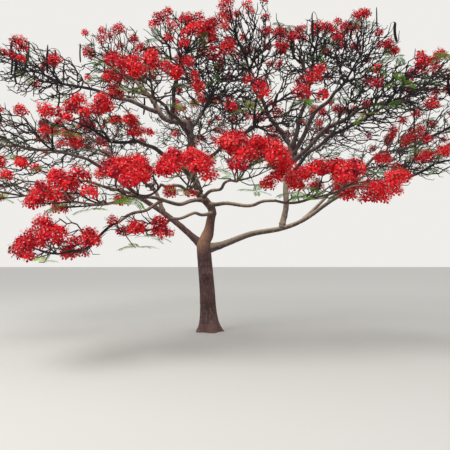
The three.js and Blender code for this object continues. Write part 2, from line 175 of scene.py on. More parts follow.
LIMB_ROWS = [LimbRow(*row) for row in (
    ("leader", "trunk", 0.97, (0.06, -0.03, 2.53), (-0.225, 0, 2.93), (0.094, 0.082)),
    ("left_bough", "trunk", 0.93, (-1.4, 0.15, 2.85), (-2.6, -0.35, 3.68), (0.074, 0.034)),
    ("low_right_bough", "trunk", 0.9, (1.65, 0.42, 2.31), (3.15, -0.3, 3.08), (0.08, 0.034)),
    ("crown_stem", "leader", 0.98, (-0.4, 0.05, 3.7), (-0.455, 0.1, 4.62), (0.08, 0.07)),
    ("elbow", "crown_stem", 0.97, (-1.04, 0.1, 4.74), (-1.23, 0.1, 5.08), (0.069, 0.052)),
    ("right_stem", "low_right_bough", 0.5, (1.79, 0.5, 3.3), (1.85, 0.5, 4.22), (0.068, 0.056)),
    ("upper_left_bough", "crown_stem", 0.3, (-0.98, -0.48, 3.76), (-1.38, -1.18, 3.86), (0.058, 0.034)),
    ("top_left_far_limb", "elbow", 0.62, (-1.8, 0.06, 5.06), (-2.45, 0.12, 5.3), (0.052, 0.036)),
    ("top_left_limb", "elbow", 0.97, (-1.5, 0.33, 5.38), (-1.75, 0.56, 5.7), (0.052, 0.037)),
    ("left_upper_limb", "crown_stem", 0.84, (-0.76, -0.43, 4.6), (-0.93, -0.8, 4.73), (0.046, 0.032)),
    ("top_mid_left_limb", "elbow", 0.3, (-0.78, -0.12, 5.1), (-0.7, -0.38, 5.38), (0.05, 0.035)),
    ("centre_limb", "crown_stem", 0.92, (-0.3, 0.3, 4.68), (-0.16, 0.36, 4.9), (0.046, 0.034)),
    ("left_front_limb", "left_bough", 0.52, (-2.15, -0.7, 3.06), (-2.65, -1.3, 3.02), (0.042, 0.026)),
    ("low_left_bough", "leader", 0.86, (-0.78, -1.25, 2.66), (-1.3, -2.15, 2.68), (0.046, 0.027)),
    ("low_left_tip_limb", "low_left_bough", 0.55, (-1.25, -1.95, 2.36), (-1.56, -2.48, 2.12), (0.032, 0.024)),
    ("front_left_bough", "crown_stem", 0.05, (-0.6, -1.05, 2.96), (-0.85, -1.7, 2.92), (0.042, 0.026)),
    ("hanging_limb", "leader", 0.5, (-0.33, -1.1, 2.4), (-0.64, -1.85, 2.26), (0.038, 0.024)),
    ("front_middle_limb", "crown_stem", 0.14, (-0.25, -0.95, 3.12), (-0.24, -1.55, 3.06), (0.04, 0.026)),
    ("front_right_limb", "leader", 0.93, (0.18, -0.85, 2.96), (0.43, -1.45, 3.04), (0.042, 0.026)),
    ("right_front_bough", "leader", 0.74, (0.72, -0.9, 2.65), (1.3, -1.55, 2.64), (0.046, 0.027)),
    ("centre_near_limb", "crown_stem", 0.4, (0.1, -0.8, 3.72), (0.48, -1.35, 3.88), (0.042, 0.032)),
    ("right_far_limb", "low_right_bough", 0.8, (3.25, -0.08, 3.42), (3.75, -0.15, 3.88), (0.036, 0.026)),
    ("top_middle_limb", "right_stem", 0.97, (1.31, 0.48, 5), (1.04, 0.52, 5.5), (0.054, 0.04)),
    ("top_mid_right_limb", "right_stem", 0.9, (2.12, 0.23, 4.9), (2.18, -0.06, 5.25), (0.054, 0.038)),
    ("top_right_limb", "right_stem", 0.82, (2.5, 0.56, 4.95), (2.98, 0.6, 5.5), (0.054, 0.04)),
    ("top_right_far_limb", "right_stem", 0.72, (2.75, 0.26, 4.52), (3.4, 0.15, 4.92), (0.052, 0.038)),
    ("right_twigs_limb", "right_stem", 0.55, (2.25, -0.1, 3.9), (2.48, -0.75, 4.05), (0.044, 0.034)),
    ("far_right_limb", "low_right_bough", 0.62, (3, 0.85, 3.25), (3.55, 1.25, 3.68), (0.04, 0.026)),
    ("back_left_limb", "left_bough", 0.32, (-1.6, 1.25, 3.5), (-2.1, 1.85, 4.02), (0.048, 0.028)),
    ("back_middle_limb", "crown_stem", 0.55, (-0.47, 1.05, 4.2), (-0.43, 1.7, 4.55), (0.048, 0.028)),
    ("back_right_limb", "right_stem", 0.35, (1.95, 1.35, 3.85), (2.25, 1.95, 4.22), (0.046, 0.028)),
)]

LOW, MIDDLE, TOP, BACK = Storey
MASS_ROWS = [MassRow(*row) for row in (
    ("low_left_tip", "low_left_tip_limb", MIDDLE, (-2.42, -4.5, 1.26), (1.15, 1.15), (7, 0, 0, 0)),
    ("low_left", "low_left_bough", MIDDLE, (-2.35, -4.3, 2.2), (1.6, 0.9), (7, 1, 0, 2)),
    ("front_left", "front_left_bough", LOW, (-1.62, -4.35, 2.38), (2.1, 0.85), (8, 1, 0, 1)),
    ("front_middle", "front_middle_limb", LOW, (-0.2, -4.3, 2.54), (1.9, 0.85), (8, 1, 0, 1)),
    ("front_right", "front_right_limb", LOW, (0.82, -4.1, 2.9), (1.8, 1), (8, 1, 0, 1)),
    ("low_hanging", "hanging_limb", MIDDLE, (-1.6, -3.95, 1.8), (1.2, 0.85), (5, 1, 0, 3)),
    ("right_low", "right_front_bough", LOW, (2.9, -3.75, 2.7), (1.7, 0.9), (9, 2, 0, 1)),
    ("left_front", "left_front_limb", MIDDLE, (-4.7, -2.9, 2.6), (2.3, 0.95), (5, 2, 0, 2)),
    ("left_mid", "upper_left_bough", MIDDLE, (-2.4, -3.25, 3.75), (2, 1.1), (8, 1, 0, 2)),
    ("left_upper", "left_upper_limb", MIDDLE, (-1.08, -2.75, 4.82), (2, 1.1), (9, 1, 0, 2)),
    ("centre_near", "centre_near_limb", TOP, (1.75, -3.7, 4.35), (1.7, 0.95), (4, 1, 0, 3)),
    ("right_mid", "low_right_bough", MIDDLE, (5.15, -2.25, 3.55), (2, 1), (3, 3, 0, 3)),
    ("right_far", "right_far_limb", MIDDLE, (6.25, -0.6, 4.75), (2.2, 1.3), (5, 2, 1, 3)),
    ("top_left_far", "top_left_far_limb", TOP, (-5.25, 0.15, 6.1), (2.6, 1.15), (4, 2, 4, 2)),
    ("top_left", "top_left_limb", TOP, (-2.9, 1.7, 6.75), (2.3, 2.2), (5, 3, 1, 3)),
    ("top_mid_left", "top_mid_left_limb", TOP, (-0.25, -1.7, 5.82), (2, 2.1), (9, 2, 0, 3)),
    ("top_middle", "top_middle_limb", TOP, (0.6, 0.9, 7.3), (2.3, 3.3), (11, 1, 1, 3)),
    ("top_mid_right", "top_mid_right_limb", TOP, (2.3, -0.9, 6.5), (1.95, 2.7), (4, 1, 3, 3)),
    ("top_right", "top_right_limb", TOP, (4, 0.95, 7), (2.2, 2.9), (8, 1, 2, 3)),
    ("top_right_far", "top_right_far_limb", TOP, (5.95, 0.1, 5.85), (2.4, 1.3), (7, 2, 1, 2)),
    ("centre", "centre_limb", TOP, (0.5, 0.4, 6.1), (2.4, 2.7), (2, 1, 0, 7)),
    ("right_twigs", "right_twigs_limb", TOP, (4.05, -2.9, 4.85), (1.9, 1.2), (2, 2, 0, 5)),
    ("far_left", "left_bough", BACK, (-5.85, -0.5, 4.55), (3.2, 1.4), (5, 3, 1, 3)),
    ("far_right", "far_right_limb", BACK, (5.9, 2.8, 4.6), (3.2, 1.5), (6, 2, 1, 2)),
    ("back_left", "back_left_limb", BACK, (-4.2, 4.3, 5.6), (4, 2), (11, 2, 1, 2)),
    ("back_middle", "back_middle_limb", BACK, (-0.3, 4.8, 6), (4, 2.1), (11, 2, 1, 2)),
    ("back_right", "back_right_limb", BACK, (3.7, 4.5, 5.7), (4, 2), (11, 2, 1, 2)),
)]


@dataclass(frozen=True)
class TipRule:
    """How tips of one kind are scattered: their room, distance apart, shell, and how low they grow."""

    room: float
    apart: float
    shell: Pair
    lowest: float


SOURCE_TIPS = {
    Kind.HEAD: TipRule(0.175, 0.32, (0.74, 1), -0.2),
    Kind.LEAF: TipRule(0.19, 0.4, (0.4, 0.98), -1),
    Kind.POD: TipRule(0.06, 0.38, (0.4, 0.98), -1),
    Kind.BARE: TipRule(0.012, 0.3, (0.4, 0.98), -1),
}
FINE_TIPS = {
    Kind.HEAD: TipRule(0.1, 0.17, (0.7, 1), -0.05),
    Kind.LEAF: TipRule(0.12, 0.3, (0.5, 1), -0.5),
    Kind.POD: TipRule(0.06, 0.34, (0.76, 1), 0.1),
    Kind.BARE: TipRule(0.012, 0.12, (0.15, 1), -1),
}


@dataclass(frozen=True)
class TwigRule:
    """How a twig runs from the wood that it leaves to its tip, and which wood it may leave."""

    step: float
    wiggle: float
    sway: float
    checks: int
    room: float
    ease: float = 0.34
    turn_in: float = 0.5
    upturn: float = 0.45
    path_weight: float = 0.45
    least_cosine: float = -0.3
    choices: int = 4


SOURCE_TWIG = TwigRule(step=0.74, wiggle=0.07, sway=0, checks=4, room=0.016)
FINE_TWIG = TwigRule(
    step=0.1, wiggle=0.05, sway=0.12, checks=2, room=0.008, path_weight=0.5, least_cosine=0.0
)


@dataclass(frozen=True)
class StoreyDress:
    """How a storey's crown is filled and coloured.

    Small heads, leaves and pods are counted for each of the source's, and twigs for each cubic metre of
    space. The shares deal out the tints of bark, pale as painted light low down and dark as painted shade at
    the top, and the tints of petals, whose crimson and deep reds are partly painted shade.
    """

    heads: float
    leaves: float
    pods: float
    twigs_per_m3: float
    head_floor: float
    twig_floor: float
    head_radii: Pair
    tip_radius: float
    flowers: int
    bark: tuple[float, ...]
    petals: tuple[float, ...]


DRESS = {
    LOW: StoreyDress(
        heads=2.5, leaves=1.3, pods=0, twigs_per_m3=42, head_floor=-0.25, twig_floor=0.0,
        head_radii=(0.11, 0.16), tip_radius=0.0065, flowers=26,
        bark=(0.1, 0.45, 0.45), petals=(0.4, 0.32, 0.08, 0.15, 0.05),
    ),
    MIDDLE: StoreyDress(
        heads=1.9, leaves=2.0, pods=1, twigs_per_m3=50, head_floor=-0.2, twig_floor=-0.3,
        head_radii=(0.08, 0.13), tip_radius=0.007, flowers=24,
        bark=(0.45, 0.42, 0.13), petals=(0.38, 0.2, 0.04, 0.26, 0.12),
    ),
    TOP: StoreyDress(
        heads=2.2, leaves=2.5, pods=3.4, twigs_per_m3=76, head_floor=-0.05, twig_floor=-1.0,
        head_radii=(0.075, 0.12), tip_radius=0.009, flowers=18,
        bark=(0.85, 0.15, 0.0), petals=(0.3, 0.12, 0.02, 0.34, 0.22),
    ),
    BACK: StoreyDress(
        heads=1.8, leaves=1.7, pods=2.0, twigs_per_m3=48, head_floor=0.0, twig_floor=-1.0,
        head_radii=(0.075, 0.12), tip_radius=0.0085, flowers=20,
        bark=(0.55, 0.38, 0.07), petals=(0.34, 0.14, 0.02, 0.32, 0.18),
    ),
}


@dataclass(frozen=True)
class Box:
    """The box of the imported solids, which the finer tips and leaves keep near."""

    low: Array
    high: Array

    def holds(self, places: Array, beyond: float) -> Array:
        """Tells which places are in the box or no farther beyond it than given."""
        return ((places >= self.low - beyond) & (places <= self.high + beyond)).all(axis=1)


class Seeded:
    """A repeatable source of numbers from 0 up to 1, the same as the tree's source has."""

    spread: int = 2654435761
    factor: int = 1664525
    step: int = 1013904223
    span: int = 2**32

    def __init__(self, seed: int) -> None:
        """Starts the numbers of one seed, past the first two.

        Args:
            seed: a whole number.
        """
        self.state = seed * self.spread % self.span
        self.draw()
        self.draw()

    def draw(self) -> float:
        """Returns the next number."""
        self.state = (self.state * self.factor + self.step) % self.span
        return self.state / self.span


def unit(vector: Array) -> Array:
    """Returns the vector at a length of one."""
    return vector / math.sqrt(vector @ vector)


def unit_rows(vectors: Array) -> Array:
    """Returns each row at a length of one."""
    return vectors / np.linalg.norm(vectors, axis=1)[:, None]


def toward(start: Array, end: Array) -> Array:
    """Returns the direction from one point to another."""
    return unit(end - start)


def mixed(start: Array, end: Array, share: float) -> Array:
    """Returns the point at a share of the way between two."""
    return start + (end - start) * share


def even_shares(count: int) -> Array:
    """Returns the ends of a number of even steps from 0 to 1."""
    return np.arange(count + 1) / count


def rounded(value: float) -> int:
    """Returns the nearest whole number, with halves going up."""
    return math.floor(value + 0.5)


def ring_angles(sides: int) -> Array:
    """Returns the directions of a ring's corners, in radians."""
    return np.arange(sides) * (TURN / sides)


def directions(turns: Array, rises: Array) -> Array:
    """Returns the directions with given turns about the upright and heights, a row for each."""
    flat = np.sqrt(1 - rises * rises)
    return np.stack([flat * np.cos(turns), flat * np.sin(turns), rises], axis=-1)


def turned(turn: float, out: float, beside: float, height: float) -> Point:
    """Returns the point so far out in a direction about Z, so far beside that, and so high."""
    cosine, sine = math.cos(turn), math.sin(turn)
    return out * cosine - beside * sine, out * sine + beside * cosine, height


def bezier(handles: Sequence[Array], shares: Array) -> Array:
    """Points on a curve between its first and last handle.

    Args:
        handles: three or four points.
        shares: where along the curve, from 0 to 1.

    Returns:
        A row for each share.
    """
    last = len(handles) - 1
    weights = [math.comb(last, k) * shares**k * (1 - shares) ** (last - k) for k in range(last + 1)]
    return np.stack(weights, axis=-1) @ np.array(handles)


def frames_along(points: Array) -> tuple[Array, Array]:
    """Two directions across a line at each of its points, which turn as little as they can.

    Args:
        points: the line, a row for each point.

    Returns:
        The sideways directions and those across them, a row for each point.
    """
    padded = np.vstack([points[:1], points, points[-1:]])
    ahead = unit_rows(padded[2:] - padded[:-2])
    side = AWAY if abs(ahead[0][0]) > STEEP else np.array([1.0, 0.0, 0.0])
    sides = np.empty_like(points)
    for row, along in enumerate(ahead):
        side = unit(side - along * (side @ along))
        sides[row] = side
    return sides, np.cross(sides, ahead)


class JoinedMesh:
    """Many small shapes gathered into one mesh, each face with the number of its material."""

    def __init__(self) -> None:
        """Starts an empty mesh."""
        self.corners: list[Array] = []
        self.faces: dict[int, list[Array]] = {3: [], 4: []}
        self.slots: dict[int, list[Array]] = {3: [], 4: []}
        self.count = 0

    def add(self, corners: Array, faces: Array, slots: Array | int) -> None:
        """Adds one shape.

        Args:
            corners: its corners, a row for each.
            faces: the corners of each face, all triangles or all quads.
            slots: the material's number for each face, or one for all.
        """
        self.add_faces(faces + self.count, slots)
        self.corners.append(corners)
        self.count += len(corners)

    def add_faces(self, faces: Array, slots: Array | int) -> None:
        """Adds faces between corners that are numbered in the whole mesh.

        Args:
            faces: the corners of each face, all triangles or all quads.
            slots: the material's number for each face, or one for all.
        """
        sides = faces.shape[1]
        self.faces[sides].append(faces)
        self.slots[sides].append(np.broadcast_to(slots, len(faces)))

    def scatter(self, pattern: Pattern, places: Array, bases: Array, sizes: Array, tints: Array) -> None:
        """Adds a copy of a pattern at each of many places.

        Args:
            pattern: the shape that is repeated.
            places: where its own origin goes, a row for each copy.
            bases: its three axes as columns, for each copy.
            sizes: its size along each axis, a row for each copy.
            tints: the material's number for each copy's tinted faces.
        """
        copies = len(places)
        if not copies:
            return
        local = pattern.corners[None] * sizes[:, None, :]
        corners = np.einsum("nij,nvj->nvi", bases, local) + places[:, None, :]
        steps = np.arange(copies)[:, None, None] * len(pattern.corners)
        faces = (pattern.faces[None] + steps).reshape(-1, 3)
        slots = np.where(pattern.slots[None] < 0, tints[:, None], pattern.slots[None])
        self.add(corners.reshape(-1, 3), faces, slots.reshape(-1))

    @property
    def triangles(self) -> int:
        """The triangles in the mesh, with each quad as two."""
        return sum(len(faces) for faces in self.faces[3]) + 2 * sum(len(faces) for faces in self.faces[4])

    def make(self, name: str, materials: Sequence[Material]) -> bpy.types.Object:
        """Makes the object that holds the mesh.

        Args:
            name: the object's name.
            materials: the material of each number.

        Returns:
            The object, in the scene.
        """
        mesh = bpy.data.meshes.new(name)
        kinds = [sides for sides in (3, 4) if self.faces[sides]]
        faces = {sides: np.concatenate(self.faces[sides]) for sides in kinds}
        loops = np.concatenate([faces[sides].ravel() for sides in kinds])
        totals = np.concatenate([np.full(len(faces[sides]), sides) for sides in kinds])
        slots = np.concatenate([np.concatenate(self.slots[sides]) for sides in kinds])
        mesh.vertices.add(self.count)
        mesh.vertices.foreach_set("co", np.concatenate(self.corners).astype(np.float32).ravel())
        mesh.loops.add(len(loops))
        mesh.loops.foreach_set("vertex_index", loops.astype(np.int32))
        mesh.polygons.add(len(totals))
        mesh.polygons.foreach_set("loop_start", (np.cumsum(totals) - totals).astype(np.int32))
        mesh.polygons.foreach_set("material_index", slots.astype(np.int32))
        for material in materials:
            mesh.materials.append(material)
        mesh.update(calc_edges=True)
        mesh.shade_smooth()
        made = bpy.data.objects.new(name, mesh)
        bpy.context.scene.collection.objects.link(made)
        return made


@dataclass(frozen=True)
class Pattern:
    """A small shape that is repeated. A slot under zero takes the tint that each copy is given."""

    corners: Array
    faces: Array
    slots: Array


class PatternDraft:
    """Gathers the corners and faces of a pattern."""

    def __init__(self) -> None:
        """Starts an empty pattern."""
        self.corners: list[Point] = []
        self.faces: list[tuple[int, int, int]] = []
        self.slots: list[int] = []

    def add(self, corners: Iterable[Point], faces: Iterable[tuple[int, int, int]], slot: int) -> None:
        """Adds a few faces of one material.

        Args:
            corners: the corners of the new faces.
            faces: the corners of each, numbered from the first new one.
            slot: the material's number, or -1 for each copy's own tint.
        """
        first = len(self.corners)
        self.corners.extend(corners)
        added = [tuple(first + at for at in face) for face in faces]
        self.faces.extend(added)
        self.slots.extend([slot] * len(added))

    def pattern(self) -> Pattern:
        """Returns the finished pattern."""
        return Pattern(np.array(self.corners, float), np.array(self.faces), np.array(self.slots))


def ring_faces(rows: int, sides: int) -> Array:
    """The quads between rings of corners.

    Args:
        rows: how many rings there are.
        sides: how many corners a ring has.

    Returns:
        The corners of each quad.
    """
    row = np.arange(rows - 1)[:, None] * sides
    here = np.arange(sides)[None]
    following = (here + 1) % sides
    quads = np.stack([row + here, row + following, row + following + sides, row + here + sides], axis=-1)
    return quads.reshape(-1, 4)


def ring_corners(points: Array, radii: Array) -> Array:
    """Rings of corners along a line.

    Args:
        points: the line, a row for each point.
        radii: the distance of each corner from the line, a row for each ring.

    Returns:
        The corners, ring by ring.
    """
    side, across = frames_along(points)
    angles = ring_angles(radii.shape[1])
    spread = side[:, None] * np.cos(angles)[:, None] + across[:, None] * np.sin(angles)[:, None]
    return (points[:, None] + spread * radii[:, :, None]).reshape(-1, 3)


def add_tube(target: JoinedMesh, corners: Array, sides: int, start: Array, end: Array, slot: int) -> None:
    """Adds a tube of ringed corners, closed by a point at either end.

    Args:
        target: the mesh that takes it.
        corners: its rings of corners.
        sides: how many corners a ring has.
        start: the point that closes its first ring.
        end: the point that closes its last ring.
        slot: the material's number.
    """
    first = target.count
    rows = len(corners) // sides
    target.add(np.vstack([corners, start, end]), ring_faces(rows, sides), slot)
    here = np.arange(sides)
    following = (here + 1) % sides
    last = first + (rows - 1) * sides
    near = np.stack([first + following, first + here, np.full(sides, first + len(corners))], axis=1)
    far = np.stack([last + here, last + following, np.full(sides, first + len(corners) + 1)], axis=1)
    target.add_faces(np.vstack([near, far]), slot)


@dataclass(frozen=True)
class BarkRelief:
    """The bark's relief: broad flutes, furrows along the wood, creases across it and a few knots."""

    flute_share: float = 0.045
    flute_scale: float = 1.1
    flute_stretch: float = 1.6
    furrow_depth: float = 0.0035
    furrow_scale: float = 5.0
    furrow_stretch: float = 7.0
    furrow_noise: tuple[float, float, int] = (0.9, 2.1, 3)
    furrow_crest: float = 0.5
    furrow_steepness: float = 2.2
    furrow_floor: float = -0.6
    crease_depth: float = 0.0018
    crease_scale: float = 38.0
    crease_step: float = 3.7
    crease_row: float = 0.4
    crease_sides: Pair = (0.6, 0.4)
    knots_per_metre: float = 2.2
    knot_share: float = 0.16
    knot_widths: Pair = (0.35, 0.6)
    knot_pit: float = 0.55
    knot_pit_width: float = 0.4

    def lift(self, angles: Array, along: Array, radii: Array, seed: int) -> Array:
        """How far each point of the bark stands out.

        Args:
            angles: the directions of a ring's corners, in radians.
            along: how far along the wood each ring is, in metres.
            radii: the smooth radius at each ring.
            seed: a number that tells one limb's bark from another's.

        Returns:
            The lift in metres, a row for each ring.
        """
        turns = [(math.cos(angle), math.sin(angle)) for angle in angles]
        broad, fine = self.flute_scale, self.furrow_scale
        even, leaning = self.crease_sides
        lift = np.empty((len(along), len(angles)))
        for row, (far, radius) in enumerate(zip(along, radii)):
            crease = noise.noise(Vector((seed * self.crease_step, self.crease_row, far * self.crease_scale)))
            for column, (x, y) in enumerate(turns):
                flute = noise.noise(Vector((x * broad + seed, y * broad, far * self.flute_stretch)))
                at = Vector((x * fine, y * fine + seed, far * self.furrow_stretch))
                ridge = abs(noise.fractal(at, *self.furrow_noise))
                furrow = max(self.furrow_crest - self.furrow_steepness * ridge, self.furrow_floor)
                height = self.flute_share * radius * flute + self.crease_depth * crease * (even + leaning * x)
                lift[row, column] = height + self.furrow_depth * furrow
        return lift + self.knots(angles, along, radii, seed)

    def knots(self, angles: Array, along: Array, radii: Array, seed: int) -> Array:
        """The bulges where old twigs were shed.

        Args:
            angles: the directions of a ring's corners, in radians.
            along: how far along the wood each ring is, in metres.
            radii: the smooth radius at each ring.
            seed: a number that tells one limb's bark from another's.

        Returns:
            The lift in metres, a row for each ring.
        """
        rng = np.random.default_rng(seed)
        lift = np.zeros((len(along), len(angles)))
        for _ in range(int(self.knots_per_metre * along[-1])):
            far = rng.uniform(0, along[-1])
            turn = rng.uniform(0, TURN)
            radius = np.interp(far, along, radii)
            width = rng.uniform(*self.knot_widths) * radius
            bend = np.abs((angles - turn + math.pi) % TURN - math.pi) * radius
            gap = np.hypot((along - far)[:, None], bend[None]) / width
            pit = self.knot_pit * np.exp(-((gap / self.knot_pit_width) ** 2))
            lift += self.knot_share * radius * (np.exp(-gap**2) - pit)
        return lift


class Wood3D:
    """A trunk or limb: a middle line and a radius, both by the share of its length."""

    name: str

    def at(self, shares: Array) -> Array:
        """Returns the middle line's points at some shares of the length."""
        raise NotImplementedError

    def radius_at(self, shares: Array) -> Array:
        """Returns the radii at some shares of the length."""
        raise NotImplementedError

    def point(self, share: float) -> Array:
        """Returns the middle line's point at one share of the length."""
        return self.at(np.array([share], float))[0]

    def girth(self, share: float) -> float:
        """Returns the radius at one share of the length."""
        return float(self.radius_at(np.array([share], float))[0])

    @cached_property
    def length(self) -> float:
        """The length, from root to middle to tip."""
        root, half, tip = self.at(np.array([0, 0.5, 1]))
        return float(np.linalg.norm(half - root) + np.linalg.norm(tip - half))

    @cached_property
    def samples(self) -> tuple[Array, Array]:
        """Points along the wood that twigs keep clear of, and the radius at each."""
        shares = even_shares(math.ceil(self.length / SAMPLE_STEP))
        return self.at(shares), self.radius_at(shares)


@dataclass
class Trunk(Wood3D):
    """The leaning trunk: its sizes, its root flare in lobes, and its mesh with the bark's relief."""

    name: str = "trunk"
    lean: float = -0.135
    bow: float = 1.4
    foot: float = 0.172
    fork: float = 0.15
    flare_height: float = 0.21
    flare_spread: float = 0.105
    lobes: int = 5
    lobe_depth: float = 0.2
    crowding: float = 1.25
    rows: int = 110
    sides: int = 64
    shoulder: float = 0.93
    shoulder_fall: float = 0.62

    def at(self, shares: Array) -> Array:
        """Returns the middle line's points at some shares of the height."""
        return np.stack([self.lean * shares**self.bow, 0 * shares, FORK_HEIGHT * shares], axis=-1)

    def flare(self, shares: Array) -> Array:
        """Returns how much of the root flare is left at some shares of the height."""
        return np.exp(-shares * FORK_HEIGHT / self.flare_height)

    def radius_at(self, shares: Array) -> Array:
        """Returns the radii at some shares of the height."""
        return self.foot + (self.fork - self.foot) * shares + self.flare_spread * self.flare(shares)

    def build(self, relief: BarkRelief) -> JoinedMesh:
        """Builds the trunk's mesh, with level rings and a rounded shoulder at the fork.

        Args:
            relief: the bark's relief.

        Returns:
            The mesh.
        """
        shares = even_shares(self.rows) ** self.crowding
        angles = ring_angles(self.sides)
        radii = self.radius_at(shares)
        past = np.clip((shares - self.shoulder) / (1 - self.shoulder), 0, 1)
        radii = radii * np.sqrt(1 - (self.shoulder_fall * past) ** 2)
        fade = self.flare(shares)
        reach = radii[:, None] * (1 + self.lobe_depth * fade[:, None] * np.cos(self.lobes * angles)[None])
        reach += relief.lift(angles, shares * FORK_HEIGHT, radii, 0)
        spread = np.stack([np.cos(angles), np.sin(angles), 0 * angles], axis=-1)
        middle = self.at(shares)
        corners = (middle[:, None] + spread[None] * reach[:, :, None]).reshape(-1, 3)
        mesh = JoinedMesh()
        add_tube(mesh, corners, self.sides, middle[0], middle[-1], 0)
        return mesh


@dataclass
class Limb(Wood3D):
    """One tapering limb that leaves its parent with a collar and sways gently out of line."""

    row: LimbRow
    parent: Wood3D
    index: int
    sway: float = 0.022
    waves: float = 1.5
    thinning: float = 0.8
    row_step: float = 0.026
    side_step: float = 0.02
    fewest_sides: int = 12
    most_sides: int = 34
    collar: float = 0.42
    collar_reach: float = 0.75
    inside: float = 0.9
    tip_round: float = 0.5

    def __post_init__(self) -> None:
        """Works out the limb's handles and the phases of its sway."""
        self.name = self.row.name
        start = self.parent.point(self.row.share)
        via, tip = np.array(self.row.via, float), np.array(self.row.tip, float)
        self.handles = [start, 2 * via - 0.5 * start - 0.5 * tip, tip]
        seeded = Seeded(LIMB_SEED + self.index)
        self.phases = np.array([seeded.draw() for _ in range(3)]) * TURN
        self.amount = self.sway * float(np.linalg.norm(via - start) + np.linalg.norm(tip - via))

    def at(self, shares: Array) -> Array:
        """The middle line's points at some shares of the length.

        Args:
            shares: the shares, from 0 to 1.

        Returns:
            A row for each share.
        """
        reach = self.amount * np.sin(math.pi * shares)
        swing = np.sin(TURN * self.waves * shares[:, None] + self.phases)
        return bezier(self.handles, shares) + reach[:, None] * swing

    def radius_at(self, shares: Array) -> Array:
        """Returns the radii at some shares of the length."""
        root, tip = self.row.radii
        return root + (tip - root) * shares**self.thinning

    def build(self, relief: BarkRelief) -> JoinedMesh:
        """Builds the limb's mesh, with a collar where it leaves its parent and a rounded tip.

        Args:
            relief: the bark's relief.

        Returns:
            The mesh.
        """
        shares = even_shares(round(self.length / self.row_step))
        points, radii = self.at(shares), self.radius_at(shares)
        along = shares * self.length
        seat = self.parent.girth(self.row.share)
        swell = 1 + self.collar * np.exp(-np.maximum(along - seat, 0) / (self.collar_reach * seat))
        collared = radii * swell
        radii = np.where(along < seat, np.minimum(collared, np.maximum(self.inside * seat, radii)), collared)
        wanted = round(TURN * self.row.radii[0] / self.side_step)
        sides = int(np.clip(wanted, self.fewest_sides, self.most_sides))
        angles = ring_angles(sides)
        lift = relief.lift(angles, along, radii, self.index + 1)
        corners = ring_corners(points, radii[:, None] + lift)
        cap = points[-1] + toward(points[-2], points[-1]) * radii[-1] * self.tip_round
        mesh = JoinedMesh()
        add_tube(mesh, corners, sides, points[0], cap, 0)
        return mesh


class Skeleton:
    """The trunk and every limb by name."""

    def __init__(self) -> None:
        """Lays the limbs out, each on its parent."""
        self.stems: dict[str, Wood3D] = {"trunk": Trunk()}
        for index, row in enumerate(LIMB_ROWS):
            self.stems[row.name] = Limb(row, self.stems[row.parent], index)

    def samples(self) -> tuple[Array, Array]:
        """Returns points along all the wood and the radius at each."""
        places, radii = zip(*(stem.samples for stem in self.stems.values()))
        return np.concatenate(places), np.concatenate(radii)


class Space:
    """The space of one mass: an ellipsoid along its reach, walled off on the way to every neighbour."""

    def __init__(self, row: MassRow, bough: Wood3D, packed: Box) -> None:
        """Lays the space out from its bough's tip.

        Args:
            row: the mass's row.
            bough: the limb that it grows on.
            packed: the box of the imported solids.
        """
        self.row = row
        self.packed = packed
        self.start = bough.point(1)
        self.to = np.array(row.to, float)
        ahead = toward(self.start, self.to)
        side = unit(np.cross(ahead, AWAY if abs(ahead[2]) > STEEP else UP))
        self.axes = np.array([ahead, side, np.cross(side, ahead)])
        reach = float(np.linalg.norm(self.to - self.start))
        self.half = np.array([reach, *row.girth]) / 2
        self.size = float(self.half.sum() / 3)
        self.middle = mixed(self.start, self.to, 0.5)

    def wall_off(self, others: Iterable[Space], wood: tuple[Array, Array]) -> None:
        """Finds the walls towards the other spaces, and the wood that is near.

        Args:
            others: all the spaces.
            wood: points along all the limbs and the radius at each.
        """
        walls = []
        for other in others:
            if other is self:
                continue
            share = self.size / (self.size + other.size)
            reach = share * float(np.linalg.norm(self.middle - other.middle)) - SPACE_GAP / 2
            walls.append((*toward(self.middle, other.middle), reach))
        table = np.array(walls)
        self.facing, self.reaches = table[:, :3], table[:, 3]
        near = np.linalg.norm(wood[0] - self.middle, axis=1) < self.half.max() + NEAR_WOOD
        self.near_places, self.near_radii = wood[0][near], wood[1][near]

    @property
    def volume(self) -> float:
        """The ellipsoid's volume in cubic metres."""
        return 4 / 3 * math.pi * float(self.half.prod())

    def holds(self, places: Array, room: float) -> Array:
        """Tells which places are inside the space with room to spare, and clear of the limbs.

        Args:
            places: the places, a row for each.
            room: how much room each needs.

        Returns:
            True or false for each place.
        """
        inside = (places[:, 2] + room <= CROWN_TOP) & (places[:, 2] - room >= CROWN_FLOOR)
        inside &= ((places - self.middle) @ self.facing.T + room <= self.reaches).all(axis=1)
        gaps = np.linalg.norm(places[:, None] - self.near_places[None], axis=2)
        return inside & (gaps >= self.near_radii + room + CLEARANCE).all(axis=1)

    def place(self, rule: TipRule, draws: Array) -> tuple[Array, Array]:
        """Places in the space's shell, from three draws each.

        Args:
            rule: how tips of the kind are scattered.
            draws: three numbers from 0 to 1 for each place.

        Returns:
            The places, and whether the kind grows at each.
        """
        inner, outer = rule.shell
        reach = inner + (outer - inner) * draws[:, 2]
        units = directions(TURN * draws[:, 0], 2 * draws[:, 1] - 1)
        offsets = (units * reach[:, None] * self.half) @ self.axes
        grows = (units[:, 0] >= MOST_BACKWARD) & (offsets[:, 2] >= rule.lowest * self.half[2])
        return offsets + self.middle, grows


@dataclass
class Wish:
    """Where a twig's tip wants to end, and what it carries."""

    kind: Kind
    place: Array


